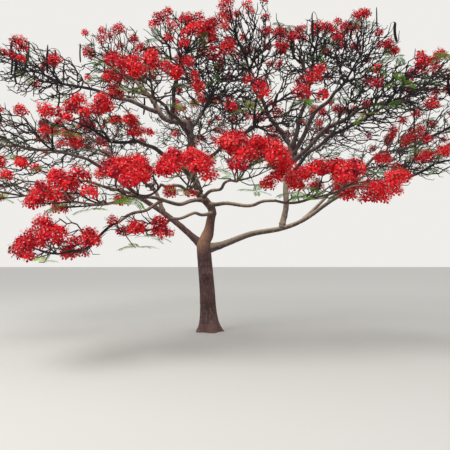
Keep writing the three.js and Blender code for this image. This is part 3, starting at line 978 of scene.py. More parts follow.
class Growth:
    """The growing wood of one mass: nodes that each know the one before, from a root at the limb's tip."""

    most_nodes: int = 9000
    heading_from: float = 0.96
    beyond: float = 0.05

    def __init__(self, space: Space, bough: Wood3D) -> None:
        """Starts with the root, which heads the way that the limb does.

        Args:
            space: the mass's space.
            bough: the limb that it grows on.
        """
        self.space = space
        self.places = np.zeros((self.most_nodes, 3))
        self.headings = np.zeros((self.most_nodes, 3))
        self.along = np.zeros(self.most_nodes)
        self.open = np.zeros(self.most_nodes, bool)
        self.parents = [-1]
        self.kinds: list[Kind | None] = [None]
        self.places[0] = space.start
        self.headings[0] = toward(bough.point(self.heading_from), space.start)

    def path(self, start: int, tip: Array, rule: TwigRule, draw: Draw) -> Array:
        """A way from a node to a new tip, which leaves near the old heading and arrives turned upwards.

        Args:
            start: the node's number.
            tip: where the twig ends.
            rule: how a twig runs.
            draw: gives numbers from 0 to 1.

        Returns:
            The points after the node, a row for each.
        """
        place = self.places[start]
        length = float(np.linalg.norm(tip - place))
        straight = toward(place, tip)
        leave = unit(mixed(self.headings[start], straight, rule.turn_in))
        arrive = unit(mixed(straight, UP, rule.upturn))
        count = max(1, rounded(length / rule.step))
        shares = even_shares(count)[1:]
        handles = [place, place + leave * rule.ease * length, tip - arrive * rule.ease * length, tip]
        points = bezier(handles, shares)
        draws = np.array([draw() for _ in range(3 * count)]).reshape(-1, 3)
        points[:-1] += (2 * draws[:-1] - 1) * (rule.wiggle * length / count)
        if rule.sway:
            waves = LEAST_WAVES + draws[0][0]
            swing = np.sin(TURN * waves * shares[:, None] + TURN * draws[-1])
            points += rule.sway * length * np.sin(math.pi * shares)[:, None] * swing
        points[-1] = tip
        return points

    def add_path(self, parent: int, path: Array) -> int:
        """Adds a way of new nodes and returns the last one's number.

        Args:
            parent: the number of the node that it leaves.
            path: its points, a row for each.

        Returns:
            The number of the tip's node.
        """
        for place in path:
            step = place - self.places[parent]
            length = math.sqrt(step @ step)
            at = len(self.parents)
            self.places[at] = place
            self.headings[at] = step / length
            self.along[at] = self.along[parent] + length
            self.open[at] = True
            self.parents.append(parent)
            self.kinds.append(None)
            parent = at
        return parent

    def choices(self, place: Array, rule: TwigRule) -> Array:
        """The nodes that reach a place soonest without turning back.

        Args:
            place: where a twig wants to end.
            rule: which wood it may leave.

        Returns:
            The numbers of a few nodes, the best first.
        """
        count = len(self.parents)
        steps = place - self.places[:count]
        gaps = np.sqrt(np.einsum("ij,ij->i", steps, steps))
        turns = np.einsum("ij,ij->i", steps, self.headings[:count])
        usable = np.flatnonzero(self.open[:count] & (turns > rule.least_cosine * gaps))
        costs = gaps[usable] + rule.path_weight * self.along[:count][usable]
        return usable[np.argsort(costs, kind="stable")[: rule.choices]]

    def is_free(self, start: int, path: Array, rule: TwigRule) -> bool:
        """Tells whether a way stays in the space and clear of the limbs.

        Args:
            start: the number of the node that it leaves.
            path: its points, a row for each.
            rule: how closely it is looked at.

        Returns:
            True if it does.
        """
        points = np.vstack([self.places[start], path])
        shares = even_shares(rule.checks)[1:, None, None]
        between = points[None, :-1] + (points[1:] - points[:-1])[None] * shares
        return bool(self.space.holds(between.reshape(-1, 3), rule.room).all())

    def reach_for(self, wishes: Iterable[Wish], rule: TwigRule, draw: Draw) -> None:
        """Joins each wish to the wood that reaches it soonest, or skips it where none can.

        Args:
            wishes: where twigs want to end, the nearest first.
            rule: how a twig runs.
            draw: gives numbers from 0 to 1.
        """
        for wish in wishes:
            for at in self.choices(wish.place, rule):
                path = self.path(at, wish.place, rule, draw)
                if not self.is_free(at, path, rule):
                    continue
                tip = self.add_path(at, path)
                self.kinds[tip] = wish.kind
                self.open[tip] = False
                break

    def by_distance(self, wishes: list[Wish]) -> list[Wish]:
        """Returns the wishes, the nearest to the root first."""
        return sorted(wishes, key=lambda wish: float(np.linalg.norm(wish.place - self.space.start)))

    def source_wishes(self, draw: Draw) -> list[Wish]:
        """The tips that the source wishes for, drawn as it draws them.

        Args:
            draw: gives numbers from 0 to 1.

        Returns:
            The wishes, the nearest to the root first.
        """
        wishes: list[Wish] = []
        for kind, left in zip(Kind, self.space.row.tips):
            rule = SOURCE_TIPS[kind]
            tries = TRIES_PER_TIP * left
            while tries > 0 and left > 0:
                tries -= 1
                places, grows = self.space.place(rule, np.array([[draw(), draw(), draw()]]))
                if not grows[0] or self.is_crowded(places[0], kind, wishes):
                    continue
                if self.space.holds(places, rule.room)[0]:
                    wishes.append(Wish(kind, places[0]))
                    left -= 1
        return self.by_distance(wishes)

    @staticmethod
    def is_crowded(place: Array, kind: Kind, wishes: list[Wish]) -> bool:
        """Tells whether a place is too near to a tip that is wished for already.

        Args:
            place: where a new tip would be.
            kind: what it carries.
            wishes: the tips so far.

        Returns:
            True if it is.
        """
        for wish in wishes:
            step = wish.place - place
            if math.sqrt(step @ step) < min(SOURCE_TIPS[kind].apart, SOURCE_TIPS[wish.kind].apart):
                return True
        return False

    def fine_wishes(self, dress: StoreyDress, rng: Random) -> list[Wish]:
        """The many finer tips that are wished for once the source's wood has grown.

        Args:
            dress: how far the storey is filled.
            rng: gives the numbers.

        Returns:
            The wishes, the nearest to the root first.
        """
        heads, leaves, pods, bare = self.space.row.tips
        bareness = BARE_SHARE + BARE_SHARE_PER_TIP * bare
        wanted = {
            Kind.HEAD: round(dress.heads * heads),
            Kind.LEAF: round(dress.leaves * (leaves + EXTRA_LEAVES)),
            Kind.POD: round(dress.pods * pods),
            Kind.BARE: round(dress.twigs_per_m3 * self.space.volume * bareness),
        }
        floors = {Kind.HEAD: dress.head_floor, Kind.BARE: dress.twig_floor}
        wishes: list[Wish] = []
        for kind, left in wanted.items():
            rule = FINE_TIPS[kind]
            rule = replace(rule, lowest=floors.get(kind, rule.lowest))
            places, grows = self.space.place(rule, rng.random((left * TRIES_PER_FINE_TIP, 3)))
            places = places[grows]
            places = places[self.space.holds(places, rule.room)]
            places = places[self.space.packed.holds(places, self.beyond)]
            taken = np.array([wish.place for wish in wishes]).reshape(-1, 3)
            for place in places:
                if left == 0:
                    break
                if len(taken) and np.min(np.linalg.norm(taken - place, axis=1)) < rule.apart:
                    continue
                taken = np.vstack([taken, place])
                wishes.append(Wish(kind, place))
                left -= 1
        return self.by_distance(wishes)

    def refine(self, step: float, sway: float, rng: Random) -> None:
        """Puts more nodes between those of the source's wood, on a smooth swaying line through them.

        Args:
            step: how far apart the nodes are, in metres.
            sway: how far the line sways between two of the source's nodes, as a share of their distance.
            rng: gives the numbers.
        """
        parents, kinds = self.parents, self.kinds
        places = self.places[: len(parents)].copy()
        heirs = {parent: at for at, parent in reversed(list(enumerate(parents)))}
        before_root = places[0] - self.headings[0] * step
        self.parents, self.kinds = [-1], [None]
        renamed = {0: 0}
        for at in range(1, len(parents)):
            place, before = places[at], places[parents[at]]
            grand = places[parents[parents[at]]] if parents[at] else before_root
            after = places[heirs[at]] if at in heirs else 2 * place - before
            length = float(np.linalg.norm(place - before))
            handles = [before, before + (place - grand) / 6, place - (after - before) / 6, place]
            shares = even_shares(max(1, rounded(length / step)))[1:]
            swing = np.sin(math.pi * shares)[:, None] * (2 * rng.random(3) - 1)
            tip = self.add_path(renamed[parents[at]], bezier(handles, shares) + sway * length * swing)
            renamed[at] = tip
            self.kinds[tip] = kinds[at]
            self.open[tip] = kinds[at] is None

    def carried(self) -> Array:
        """How many tips each node carries.

        Returns:
            A number for each node.
        """
        counts = np.zeros(len(self.parents))
        for at in range(len(self.parents) - 1, 0, -1):
            counts[at] = max(counts[at], 1)
            counts[self.parents[at]] += counts[at]
        return counts

    def runs(self, counts: Array) -> list[list[int]]:
        """Runs of nodes, each from the wood that it leaves to a tip, along the child that carries most.

        Args:
            counts: how many tips each node carries.

        Returns:
            The numbers of each run's nodes.
        """
        children: list[list[int]] = [[] for _ in self.parents]
        for at, parent in enumerate(self.parents[1:], 1):
            children[parent].append(at)
        waiting = [[0]]
        runs = []
        while waiting:
            run = waiting.pop()
            while children[run[-1]]:
                heaviest, *others = sorted(children[run[-1]], key=lambda at: (-counts[at], at))
                waiting.extend([run[-1], other] for other in others)
                run.append(heaviest)
            runs.append(run)
        return runs


@dataclass
class Head:
    """One head of bloom on a twig's tip, with a lump at its top, a ring of them and one at its bottom."""

    place: Array
    turn: float
    radius: float
    lumps: Array


@dataclass
class Mass:
    """One mass of the crown: the source's wood grown again, then finer twigs, and what the tips carry."""

    row: MassRow
    index: int
    bough: Wood3D
    space: Space
    stem_share: float = 0.6
    head_sizes: Pair = (0.85, 1.15)
    lumpiness: float = 0.2
    refined_step: float = 0.11
    refined_sway: float = 0.07
    source_tips: int = 0
    growth: Growth = field(init=False)
    heads: list[Head] = field(default_factory=list)
    leaves: list[tuple[Array, float, bool]] = field(default_factory=list)
    pods: list[tuple[Array, float]] = field(default_factory=list)

    def grow(self) -> None:
        """Grows the wood and gathers what its tips carry."""
        seeded = Seeded(WOOD_SEED + self.index)
        rng = np.random.default_rng(FINE_SEED + self.index)
        dress = DRESS[self.row.storey]
        self.growth = growth = Growth(self.space, self.bough)
        stem_end = mixed(self.space.start, self.space.to, self.stem_share)
        growth.add_path(0, growth.path(0, stem_end, SOURCE_TWIG, seeded.draw))
        growth.reach_for(growth.source_wishes(seeded.draw), SOURCE_TWIG, seeded.draw)
        self.source_tips = sum(kind is not None for kind in growth.kinds)
        self.dress_source_tips()
        growth.refine(self.refined_step, self.refined_sway, rng)
        known = len(growth.parents)
        growth.reach_for(growth.fine_wishes(dress, rng), FINE_TWIG, lambda: float(rng.random()))
        self.dress_fine_tips(known, dress, rng)

    def dress_source_tips(self) -> None:
        """Notes the source's heads, leaves and pods, turned and sized as there, before any node moves."""
        seeded = Seeded(FINERY_SEED + self.index)
        small, large = self.head_sizes
        for kind, place in zip(self.growth.kinds, self.growth.places.copy()):
            if kind in (None, Kind.BARE):
                continue
            turn = seeded.draw() * TURN
            if kind is Kind.HEAD:
                radius = HEAD_RADIUS * (small + (large - small) * seeded.draw())
                draws = np.array([seeded.draw() for _ in range(RING_LUMPS + 2)])
                self.heads.append(Head(place, turn, radius, 1 + self.lumpiness * (2 * draws - 1)))
            else:
                self.dress_tip(kind, place, turn, False)

    def dress_fine_tips(self, known: int, dress: StoreyDress, rng: Random) -> None:
        """Notes the finer heads, leaves and pods.

        Args:
            known: how many nodes there were before the finer twigs.
            dress: how its storey is filled.
            rng: gives the numbers.
        """
        for at, kind in enumerate(self.growth.kinds[known:], known):
            place = self.growth.places[at]
            turn = rng.uniform(0, TURN)
            if kind is Kind.HEAD:
                lumps = 1 + self.lumpiness * rng.uniform(-1, 1, RING_LUMPS + 2)
                self.heads.append(Head(place, turn, rng.uniform(*dress.head_radii), lumps))
            else:
                self.dress_tip(kind, place, turn, True)

    def dress_tip(self, kind: Kind | None, place: Array, turn: float, fine: bool) -> None:
        """Notes a spray of leaves or a pod on a tip that carries one.

        Args:
            kind: what the tip carries.
            place: where it is.
            turn: how far that is turned.
            fine: whether the tip is one of the finer ones.
        """
        if kind is Kind.LEAF:
            self.leaves.append((place, turn, fine))
        elif kind is Kind.POD:
            self.pods.append((place, turn))


class Tint(Enum):
    """The materials of a crown's pieces, by the number that a face carries there."""

    STALK = 0
    PALE = 1
    STAMEN = 2
    SEPAL = 3
    FIRST = 4


@dataclass(frozen=True)
class Twigs:
    """The tubes that stand for a mass's wood, thick where they carry much, in three tints of bark."""

    end_taper: float = 0.6
    fit: float = 0.94
    fullness: float = 0.75
    lead: float = 0.03
    fork_swell: float = 0.18
    thick_radii: tuple[float, float, float] = (0.0085, 0.013, 0.02)
    ring_sides: tuple[int, int, int, int] = (3, 4, 6, 8)

    def add(self, target: JoinedMesh, mass: Mass, rng: Random) -> None:
        """Adds all the twigs of one mass.

        Args:
            target: the mesh that takes them.
            mass: the mass, grown.
            rng: deals out the tints.
        """
        growth = mass.growth
        counts = growth.carried()
        root_radius = mass.bough.girth(1) * self.fit
        share = ((np.sqrt(np.maximum(counts, 1)) - 1) / (math.sqrt(max(counts[0], 2)) - 1)) ** self.fullness
        dress = DRESS[mass.row.storey]
        radii = dress.tip_radius + (root_radius - dress.tip_radius) * share
        for run in growth.runs(counts):
            points = growth.places[run]
            girths = radii[run].copy()
            if run[0] == 0:
                points[0] -= growth.headings[0] * self.lead
                girths[0] = root_radius
            else:
                girths[0] = min(girths[0], girths[1] * (1 + self.fork_swell))
            girths[-1] *= self.end_taper
            girth = girths[: len(run) // 2 + 1].mean()
            sides = self.ring_sides[int(np.searchsorted(self.thick_radii, girth))]
            corners = ring_corners(points, np.repeat(girths[:, None], sides, axis=1))
            # Painted light and shade: the storey's shares deal pale twig bark low in the crown and dark twig
            # bark at its top.
            slot = int(rng.choice(len(dress.bark), p=dress.bark))
            end = points[-1] + toward(points[-2], points[-1]) * girths[-1]
            add_tube(target, corners, sides, points[0], end, slot)


def bases_about(axes: Array, turns: Array) -> Array:
    """Sets of three axes that each have their third along a given direction.

    Args:
        axes: the directions, a row for each.
        turns: how far the other two are turned about it, in radians.

    Returns:
        The axes as columns, for each direction.
    """
    helpers = np.where(np.abs(axes[:, 2:]) < STEEP, UP, AWAY)
    side = unit_rows(np.cross(helpers, axes))
    across = np.cross(axes, side)
    cosine, sine = np.cos(turns)[:, None], np.sin(turns)[:, None]
    return np.stack([side * cosine + across * sine, across * cosine - side * sine, axes], axis=-1)


def level_bases(turns: Array, tilts: Array) -> Array:
    """Sets of three axes that lie level, are turned about the upright, and have their first tilted up.

    Args:
        turns: the turns about the upright, in radians.
        tilts: how far the first axis rises, in radians.

    Returns:
        The axes as columns, for each turn.
    """
    flat = np.stack([np.cos(turns), np.sin(turns), 0 * turns], axis=-1)
    ahead = flat * np.cos(tilts)[:, None] + UP * np.sin(tilts)[:, None]
    side = np.stack([-np.sin(turns), np.cos(turns), 0 * turns], axis=-1)
    return np.stack([ahead, side, np.cross(ahead, side)], axis=-1)


@dataclass(frozen=True)
class Flower:
    """One flower: four clawed red petals, a pale standard petal, long stamens and the sepals behind.

    Its reach is one. Corners are given by how far out they are and how far beside that, and those of a
    stamen and a sepal also by their height.
    """

    petals: int = 4
    outline: tuple[Pair, ...] = (
        (0.02, 0.0), (0.3, -0.07), (0.3, 0.07), (0.66, -0.3), (0.66, 0.3), (0.93, -0.17), (0.99, 0.17),
    )
    outline_faces: Faces = ((0, 1, 2), (1, 3, 2), (2, 3, 4), (3, 5, 4), (4, 5, 6))
    petal_play: float = 0.12
    petal_lengths: Pair = (0.9, 1.05)
    petal_lifts: Pair = (-0.05, 0.3)
    cup: float = 0.16
    crinkle: float = 0.16
    crinkle_at_sides: float = 3.0
    standard_length: float = 0.62
    standard_lift: float = 0.6
    stamens: int = 5
    stamen: tuple[Point, Point, Point] = ((0.01, 0, 0), (0.32, -0.035, 0.8), (0.32, 0.035, 0.8))
    stamen_play: float = 0.4
    sepals: int = 5
    sepal: tuple[Point, Point, Point] = ((0.105, 0.0924, -0.06), (0.105, -0.0924, -0.06), (0.42, 0, -0.13))
    patterns: int = 6

    def petal(self, turn: float, length: float, lift: float, rng: Random) -> list[Point]:
        """The corners of one petal, from its claw to its crinkled rim.

        Args:
            turn: its direction about the flower's axis.
            length: its length, with the flower's reach as one.
            lift: how far it rises towards its end.
            rng: gives the crinkles.

        Returns:
            Seven corners.
        """
        corners = []
        for far, wide in self.outline:
            height = lift * far - self.cup * far * far
            height += self.crinkle * rng.uniform(-1, 1) * min(far, abs(wide) * self.crinkle_at_sides)
            corners.append(turned(turn, far * length, wide * length, height))
        return corners

    def draw(self, seed: int) -> Pattern:
        """Draws one pattern of flower.

        Args:
            seed: tells the patterns apart.

        Returns:
            The pattern, with its axis along Z and a reach of one.
        """
        rng = np.random.default_rng(seed)
        draft = PatternDraft()
        spread = TURN / (self.petals + 1)
        for number in range(self.petals):
            turn = spread * (number + 1) + rng.uniform(-self.petal_play, self.petal_play)
            length, lift = rng.uniform(*self.petal_lengths), rng.uniform(*self.petal_lifts)
            draft.add(self.petal(turn, length, lift, rng), self.outline_faces, -1)
        standard = self.petal(0, self.standard_length, self.standard_lift, rng)
        draft.add(standard, self.outline_faces, Tint.PALE.value)
        for number in range(self.stamens):
            turn = TURN * number / self.stamens + rng.uniform(-self.stamen_play, self.stamen_play)
            draft.add([turned(turn, *corner) for corner in self.stamen], ((0, 1, 2),), Tint.STAMEN.value)
        for number in range(self.sepals):
            turn = TURN * (number + 0.5) / self.sepals
            draft.add([turned(turn, *corner) for corner in self.sepal], ((0, 1, 2),), Tint.SEPAL.value)
        return draft.pattern()


def prism(sides: int, taper: float, slot: int) -> Pattern:
    """A thin stalk of one, from its origin along Z, that narrows a little.

    Args:
        sides: how many sides it has.
        taper: its width at the end, with that at the start as one.
        slot: the material's number.

    Returns:
        The pattern.
    """
    draft = PatternDraft()
    ends = ((1, 0), (taper, 1))
    corners = [turned(angle, reach, 0, height) for reach, height in ends for angle in ring_angles(sides)]
    faces = []
    for at in range(sides):
        after = (at + 1) % sides
        faces += [(at, after, sides + after), (at, sides + after, sides + at)]
    draft.add(corners, faces, slot)
    return draft.pattern()


def bead(reach: float, waist: float, foot: float, slot: int) -> Pattern:
    """A bud of eight faces along Z, with its tip at one.

    Args:
        reach: how wide it is about its axis.
        waist: how high that width is.
        foot: how high its foot is.
        slot: the material's number, or -1 for each copy's own tint.

    Returns:
        The pattern.
    """
    draft = PatternDraft()
    ring = [turned(angle, reach, 0, waist) for angle in ring_angles(4)]
    faces = []
    for at in range(4):
        after = (at + 1) % 4
        faces += [(at, after, 4), (after, at, 5)]
    draft.add([*ring, (0, 0, 1), (0, 0, foot)], faces, slot)
    return draft.pattern()


@dataclass(frozen=True)
class Blossom:
    """The heads of bloom: flowers on stalks all over a dome, a few inside it, and buds at its top."""

    flower: Flower = Flower()
    flower_reach: Pair = (0.062, 0.078)
    fewest: int = 8
    dome: float = 0.95
    keel: float = 0.6
    lowest: float = -0.62
    depth: Pair = (0.55, 1.0)
    upturn: float = 0.4
    stray: float = 0.35
    stalk_radius: float = 0.0022
    stalk_sides: int = 3
    stalk_taper: float = 0.7
    buds: int = 5
    bud_reach: float = 0.013
    bud_sizes: Pair = (0.7, 1.2)
    bud_shape: tuple[float, float, float] = (0.6, 0.1, -0.9)
    bud_height: float = 0.5
    bud_spread: float = 0.3
    one_shade: float = 0.6

    def patterns(self) -> tuple[list[Pattern], Pattern, Pattern]:
        """Draws what heads are made of.

        Returns:
            The patterns of flowers, of a stalk and of a bud.
        """
        flowers = [self.flower.draw(seed) for seed in range(self.flower.patterns)]
        stalk = prism(self.stalk_sides, self.stalk_taper, Tint.STALK.value)
        return flowers, stalk, bead(*self.bud_shape, -1)

    def shape(self, head: Head, units: Array) -> Array:
        """How far the head reaches in some directions, with its lumps as in the source.

        Args:
            head: the head.
            units: the directions, a row for each.

        Returns:
            The points of its surface about its middle.
        """
        top, *around, bottom = head.lumps
        turns = (np.arctan2(units[:, 1], units[:, 0]) - head.turn) % TURN
        ring = np.interp(turns * (RING_LUMPS / 2) / math.pi, np.arange(RING_LUMPS + 1), [*around, around[0]])
        pole = np.where(units[:, 2] > 0, top, bottom)
        lump = ring + (pole - ring) * np.abs(units[:, 2])
        heights = np.where(units[:, 2] > 0, self.dome, self.keel)
        return units * np.stack([lump, lump, lump * heights], axis=-1) * head.radius

    def add(
        self,
        target: JoinedMesh,
        head: Head,
        dress: StoreyDress,
        made: tuple[list[Pattern], Pattern, Pattern],
        rng: Random,
    ) -> None:
        """Adds one head of bloom.

        Args:
            target: the mesh that takes it.
            head: the head.
            dress: how full its storey's heads are, and their shades.
            made: the patterns of flowers, of a stalk and of a bud.
            rng: gives the numbers.
        """
        flowers, stalk, bud = made
        count = max(self.fewest, round(dress.flowers * (head.radius / HEAD_RADIUS) ** 2))
        steps = np.arange(count) + 0.5
        rise = 1 - (1 - self.lowest) * steps / count
        units = directions(GOLDEN_TURN * steps + head.turn, rise)
        places = self.shape(head, units) * rng.uniform(*self.depth, count)[:, None]
        axes = units + UP * self.upturn + self.stray * rng.uniform(-1, 1, (count, 3))
        bases = bases_about(unit_rows(axes), rng.uniform(0, TURN, count))
        sizes = np.repeat(rng.uniform(*self.flower_reach, (count, 1)), 3, axis=1)
        # Tints follow the storey's shares, whose crimson and deep reds, given more at the top and back, are
        # partly painted shade.
        shades = rng.choice(len(dress.petals), count + 1, p=dress.petals)
        tints = Tint.FIRST.value + np.where(rng.random(count) < self.one_shade, shades[-1], shades[:-1])
        which = rng.integers(0, len(flowers), count)
        for number, pattern in enumerate(flowers):
            chosen = which == number
            target.scatter(pattern, head.place + places[chosen], bases[chosen], sizes[chosen], tints[chosen])
        self.add_stalks(target, stalk, head, places)
        play = rng.normal(0, self.bud_spread * head.radius, (self.buds, 3))
        spots = UP * head.radius * self.bud_height + play
        upward = bases_about(unit_rows(spots), np.zeros(self.buds))
        sizes = np.full((self.buds, 3), self.bud_reach) * rng.uniform(*self.bud_sizes, (self.buds, 1))
        target.scatter(bud, head.place + spots, upward, sizes, np.full(self.buds, tints[0]))
        self.add_stalks(target, stalk, head, spots)

    def add_stalks(self, target: JoinedMesh, stalk: Pattern, head: Head, ends: Array) -> None:
        """Adds the stalks that join flowers or buds to the twig's tip.

        Args:
            target: the mesh that takes them.
            stalk: the pattern of a stalk.
            head: the head.
            ends: where the stalks end, about the head's middle.
        """
        bases = bases_about(unit_rows(ends), np.zeros(len(ends)))
        thin = np.full(len(ends), self.stalk_radius)
        sizes = np.stack([thin, thin, np.linalg.norm(ends, axis=1)], axis=-1)
        places = np.repeat(head.place[None], len(ends), axis=0)
        target.scatter(stalk, places, bases, sizes, np.zeros(len(ends), int))


@dataclass(frozen=True)
class Leaf:
    """A feathery leaf: a drooping rib with pairs of side ribs, each with pairs of leaflets."""

    length: float = 0.34
    droop: float = 0.65
    droops: Pair = (0.7, 1.8)
    bare_foot: float = 0.14
    rib_steps: int = 5
    rib_width: float = 0.00352
    rib_taper: float = 0.6
    pairs: int = 9
    side_rib: float = 0.09
    side_rib_least: float = 0.45
    side_rib_bulge: Pair = (0.2, 0.75)
    side_rib_width: float = 0.0022
    side_droop: float = 0.3
    side_droops: Pair = (0.6, 1.4)
    sweep: float = 0.35
    sweep_play: float = 0.1
    leaflet_pairs: int = 6
    leaflet_foot: float = 0.8
    leaflet_length: float = 0.03
    leaflet_width: float = 0.017
    leaflet_most: float = 1.1
    leaflet_loss: float = 0.5
    leaflet_best: float = 0.4
    leaflet_sweep: float = 0.35
    leaflet_arch: float = 0.001
    patterns: int = 3
    shades: int = 4

    def rib_at(self, share: float, bend: float) -> tuple[Array, Array]:
        """A point of the rib and its direction there, as it droops.

        Args:
            share: how far along the rib.
            bend: how far it droops at its end, in radians.

        Returns:
            The point and the direction.
        """
        fall = bend * share
        x = self.length * math.sin(fall) / bend
        z = -self.length * (1 - math.cos(fall)) / bend
        return np.array([x, 0, z]), np.array([math.cos(fall), 0, -math.sin(fall)])

    def draw(self, seed: int) -> Pattern:
        """Draws one pattern of leaf.

        Args:
            seed: tells the patterns apart.

        Returns:
            The pattern, in metres, with its rib along X.
        """
        rng = np.random.default_rng(seed)
        bend = self.droop * rng.uniform(*self.droops)
        draft = PatternDraft()
        rib = [self.rib_at(share, bend)[0] for share in even_shares(self.rib_steps)]
        self.add_strip(draft, rib, self.rib_width)
        bulge_from, bulge_to = self.side_rib_bulge
        for pair in range(self.pairs):
            share = self.bare_foot + (1 - self.bare_foot) * (pair + 0.5) / self.pairs
            place, ahead = self.rib_at(share, bend)
            bulge = math.sin(math.pi * (bulge_from + bulge_to * share))
            reach = self.side_rib * (self.side_rib_least + (1 - self.side_rib_least) * bulge)
            for side in (-1, 1):
                sweep = self.sweep + rng.uniform(-self.sweep_play, self.sweep_play)
                out = unit(ahead * sweep + AWAY * side)
                fall = -UP * reach * self.side_droop * rng.uniform(*self.side_droops)
                self.add_side_rib(draft, place, out * reach, fall, ahead)
        return draft.pattern()

    def add_side_rib(self, draft: PatternDraft, place: Array, out: Array, fall: Array, ahead: Array) -> None:
        """Adds a side rib and its leaflets.

        Args:
            draft: the leaf so far.
            place: where the side rib leaves the rib.
            out: its reach.
            fall: how far its end droops.
            ahead: the rib's direction there.
        """
        self.add_strip(draft, [place, place + out + fall], self.side_rib_width)
        along = unit(out)
        for pair in range(self.leaflet_pairs):
            share = (pair + self.leaflet_foot) / self.leaflet_pairs
            foot = place + out * share + fall * share**2
            size = self.leaflet_most - self.leaflet_loss * abs(share - self.leaflet_best)
            for side, faces in ((-1, ((0, 2, 1), (0, 3, 2))), (1, ((0, 1, 2), (0, 2, 3)))):
                point = foot + unit(ahead * side + along * self.leaflet_sweep) * self.leaflet_length * size
                wide = along * self.leaflet_width * size / 2
                middle = mixed(foot, point, 0.5) + UP * self.leaflet_arch
                draft.add([tuple(at) for at in (foot, middle + wide, point, middle - wide)], faces, -1)

    def add_strip(self, draft: PatternDraft, line: Sequence[Array], width: float) -> None:
        """Adds a thin strip along a line, narrower towards its end.

        Args:
            draft: the leaf so far.
            line: the points of its middle.
            width: its width at the start.
        """
        across = unit(np.cross(toward(line[0], line[-1]), UP)) * width / 2
        corners = []
        faces = []
        for at, point in enumerate(line):
            half = across * (1 - self.rib_taper * at / (len(line) - 1))
            corners += [tuple(point + half), tuple(point - half)]
        for at in range(len(line) - 1):
            first = 2 * at
            faces += [(first, first + 1, first + 3), (first, first + 3, first + 2)]
        draft.add(corners, faces, Tint.STALK.value)


@dataclass(frozen=True)
class Foliage:
    """The sprays of feathery leaves round the twigs' tips."""

    leaf: Leaf = Leaf()
    spray: int = 5
    fine_spray: int = 3
    tilt: Pair = (0.0, 0.7)
    play: float = 0.3
    sizes: Pair = (0.6, 1.0)
    beyond: float = 0.15

    def add(self, target: JoinedMesh, mass: Mass, patterns: list[Pattern], rng: Random) -> None:
        """Adds the leaves of one mass.

        Args:
            target: the mesh that takes them.
            mass: the mass, grown.
            patterns: the patterns of leaves.
            rng: gives the numbers.
        """
        for place, turn, fine in mass.leaves:
            count = self.fine_spray if fine else self.spray
            turns = turn + np.arange(count) * GOLDEN_TURN + rng.uniform(-self.play, self.play, count)
            bases = level_bases(turns, rng.uniform(*self.tilt, count))
            sizes = np.repeat(rng.uniform(*self.sizes, (count, 1)), 3, axis=1)
            shade = 1 + rng.integers(0, self.leaf.shades)
            pattern = patterns[rng.integers(0, len(patterns))]
            places = np.repeat(place[None], count, axis=0)
            kept = mass.space.packed.holds(places + bases[:, :, 0] * self.leaf.length * sizes, self.beyond)
            target.scatter(pattern, places[kept], bases[kept], sizes[kept], np.full(kept.sum(), shade))


@dataclass(frozen=True)
class Pod:
    """A long flat woody pod that arches out on its stalk and hangs, with a beak and swelling seeds."""

    length: float = 0.56
    width: float = 0.062
    thickness: float = 0.024
    arch: Pair = (1.15, 0.28)
    curls: tuple[float, ...] = (1.25, 0.6, -0.5)
    rows: int = 20
    sides: int = 10
    beak_from: float = 0.88
    beak_least: float = 0.06
    beak_power: float = 0.6
    foot: float = 0.12
    foot_length: float = 0.1
    foot_power: float = 0.7
    stalk_radius: float = 0.004
    stalk_flatness: float = 0.8
    seeds: int = 9
    swell: float = 0.16

    def draw(self, curl: float) -> Pattern:
        """Draws one pattern of pod.

        Args:
            curl: how far it turns from the upright on its way down, in radians.

        Returns:
            The pattern, in metres, hanging from its origin.
        """
        shares = even_shares(self.rows)
        angles = ring_angles(self.sides)
        rise, arched = self.arch
        over = np.clip(shares / arched, 0, 1)
        heading = rise + (-math.pi / 2 - rise) * over * over * (3 - 2 * over) + curl * (shares - 0.5)
        steps = np.stack([np.cos(heading), 0 * heading, np.sin(heading)], axis=-1) * self.length / self.rows
        middle = np.cumsum(steps, axis=0) - steps[0]
        across = np.stack([-np.sin(heading), 0 * heading, np.cos(heading)], axis=-1)
        taper = np.clip((1 - shares) / (1 - self.beak_from), self.beak_least, 1) ** self.beak_power
        foot = np.clip((shares - self.foot) / self.foot_length, 0, 1) ** self.foot_power
        wide = self.stalk_radius + (self.width / 2 - self.stalk_radius) * foot * taper
        seeds = 1 + self.swell * np.sin(TURN * self.seeds * shares)
        thin = self.stalk_radius * self.stalk_flatness
        thick = thin + (self.thickness / 2 - thin) * foot * taper * seeds
        draft = PatternDraft()
        corners = []
        for place, side, half, deep in zip(middle, across, wide, thick):
            ring = (side * half * math.cos(angle) + AWAY * deep * math.sin(angle) for angle in angles)
            corners += [tuple(place + at) for at in ring]
        faces = []
        for a, b, c, d in ring_faces(self.rows + 1, self.sides):
            faces += [(a, b, c), (a, c, d)]
        draft.add(corners, faces, -1)
        return draft.pattern()


HOOKED_POD = Pod(
    length=0.95, width=0.05, arch=(1.4, 0.62), curls=(0.3, -0.2), rows=26, foot=0.42, stalk_radius=0.006
)


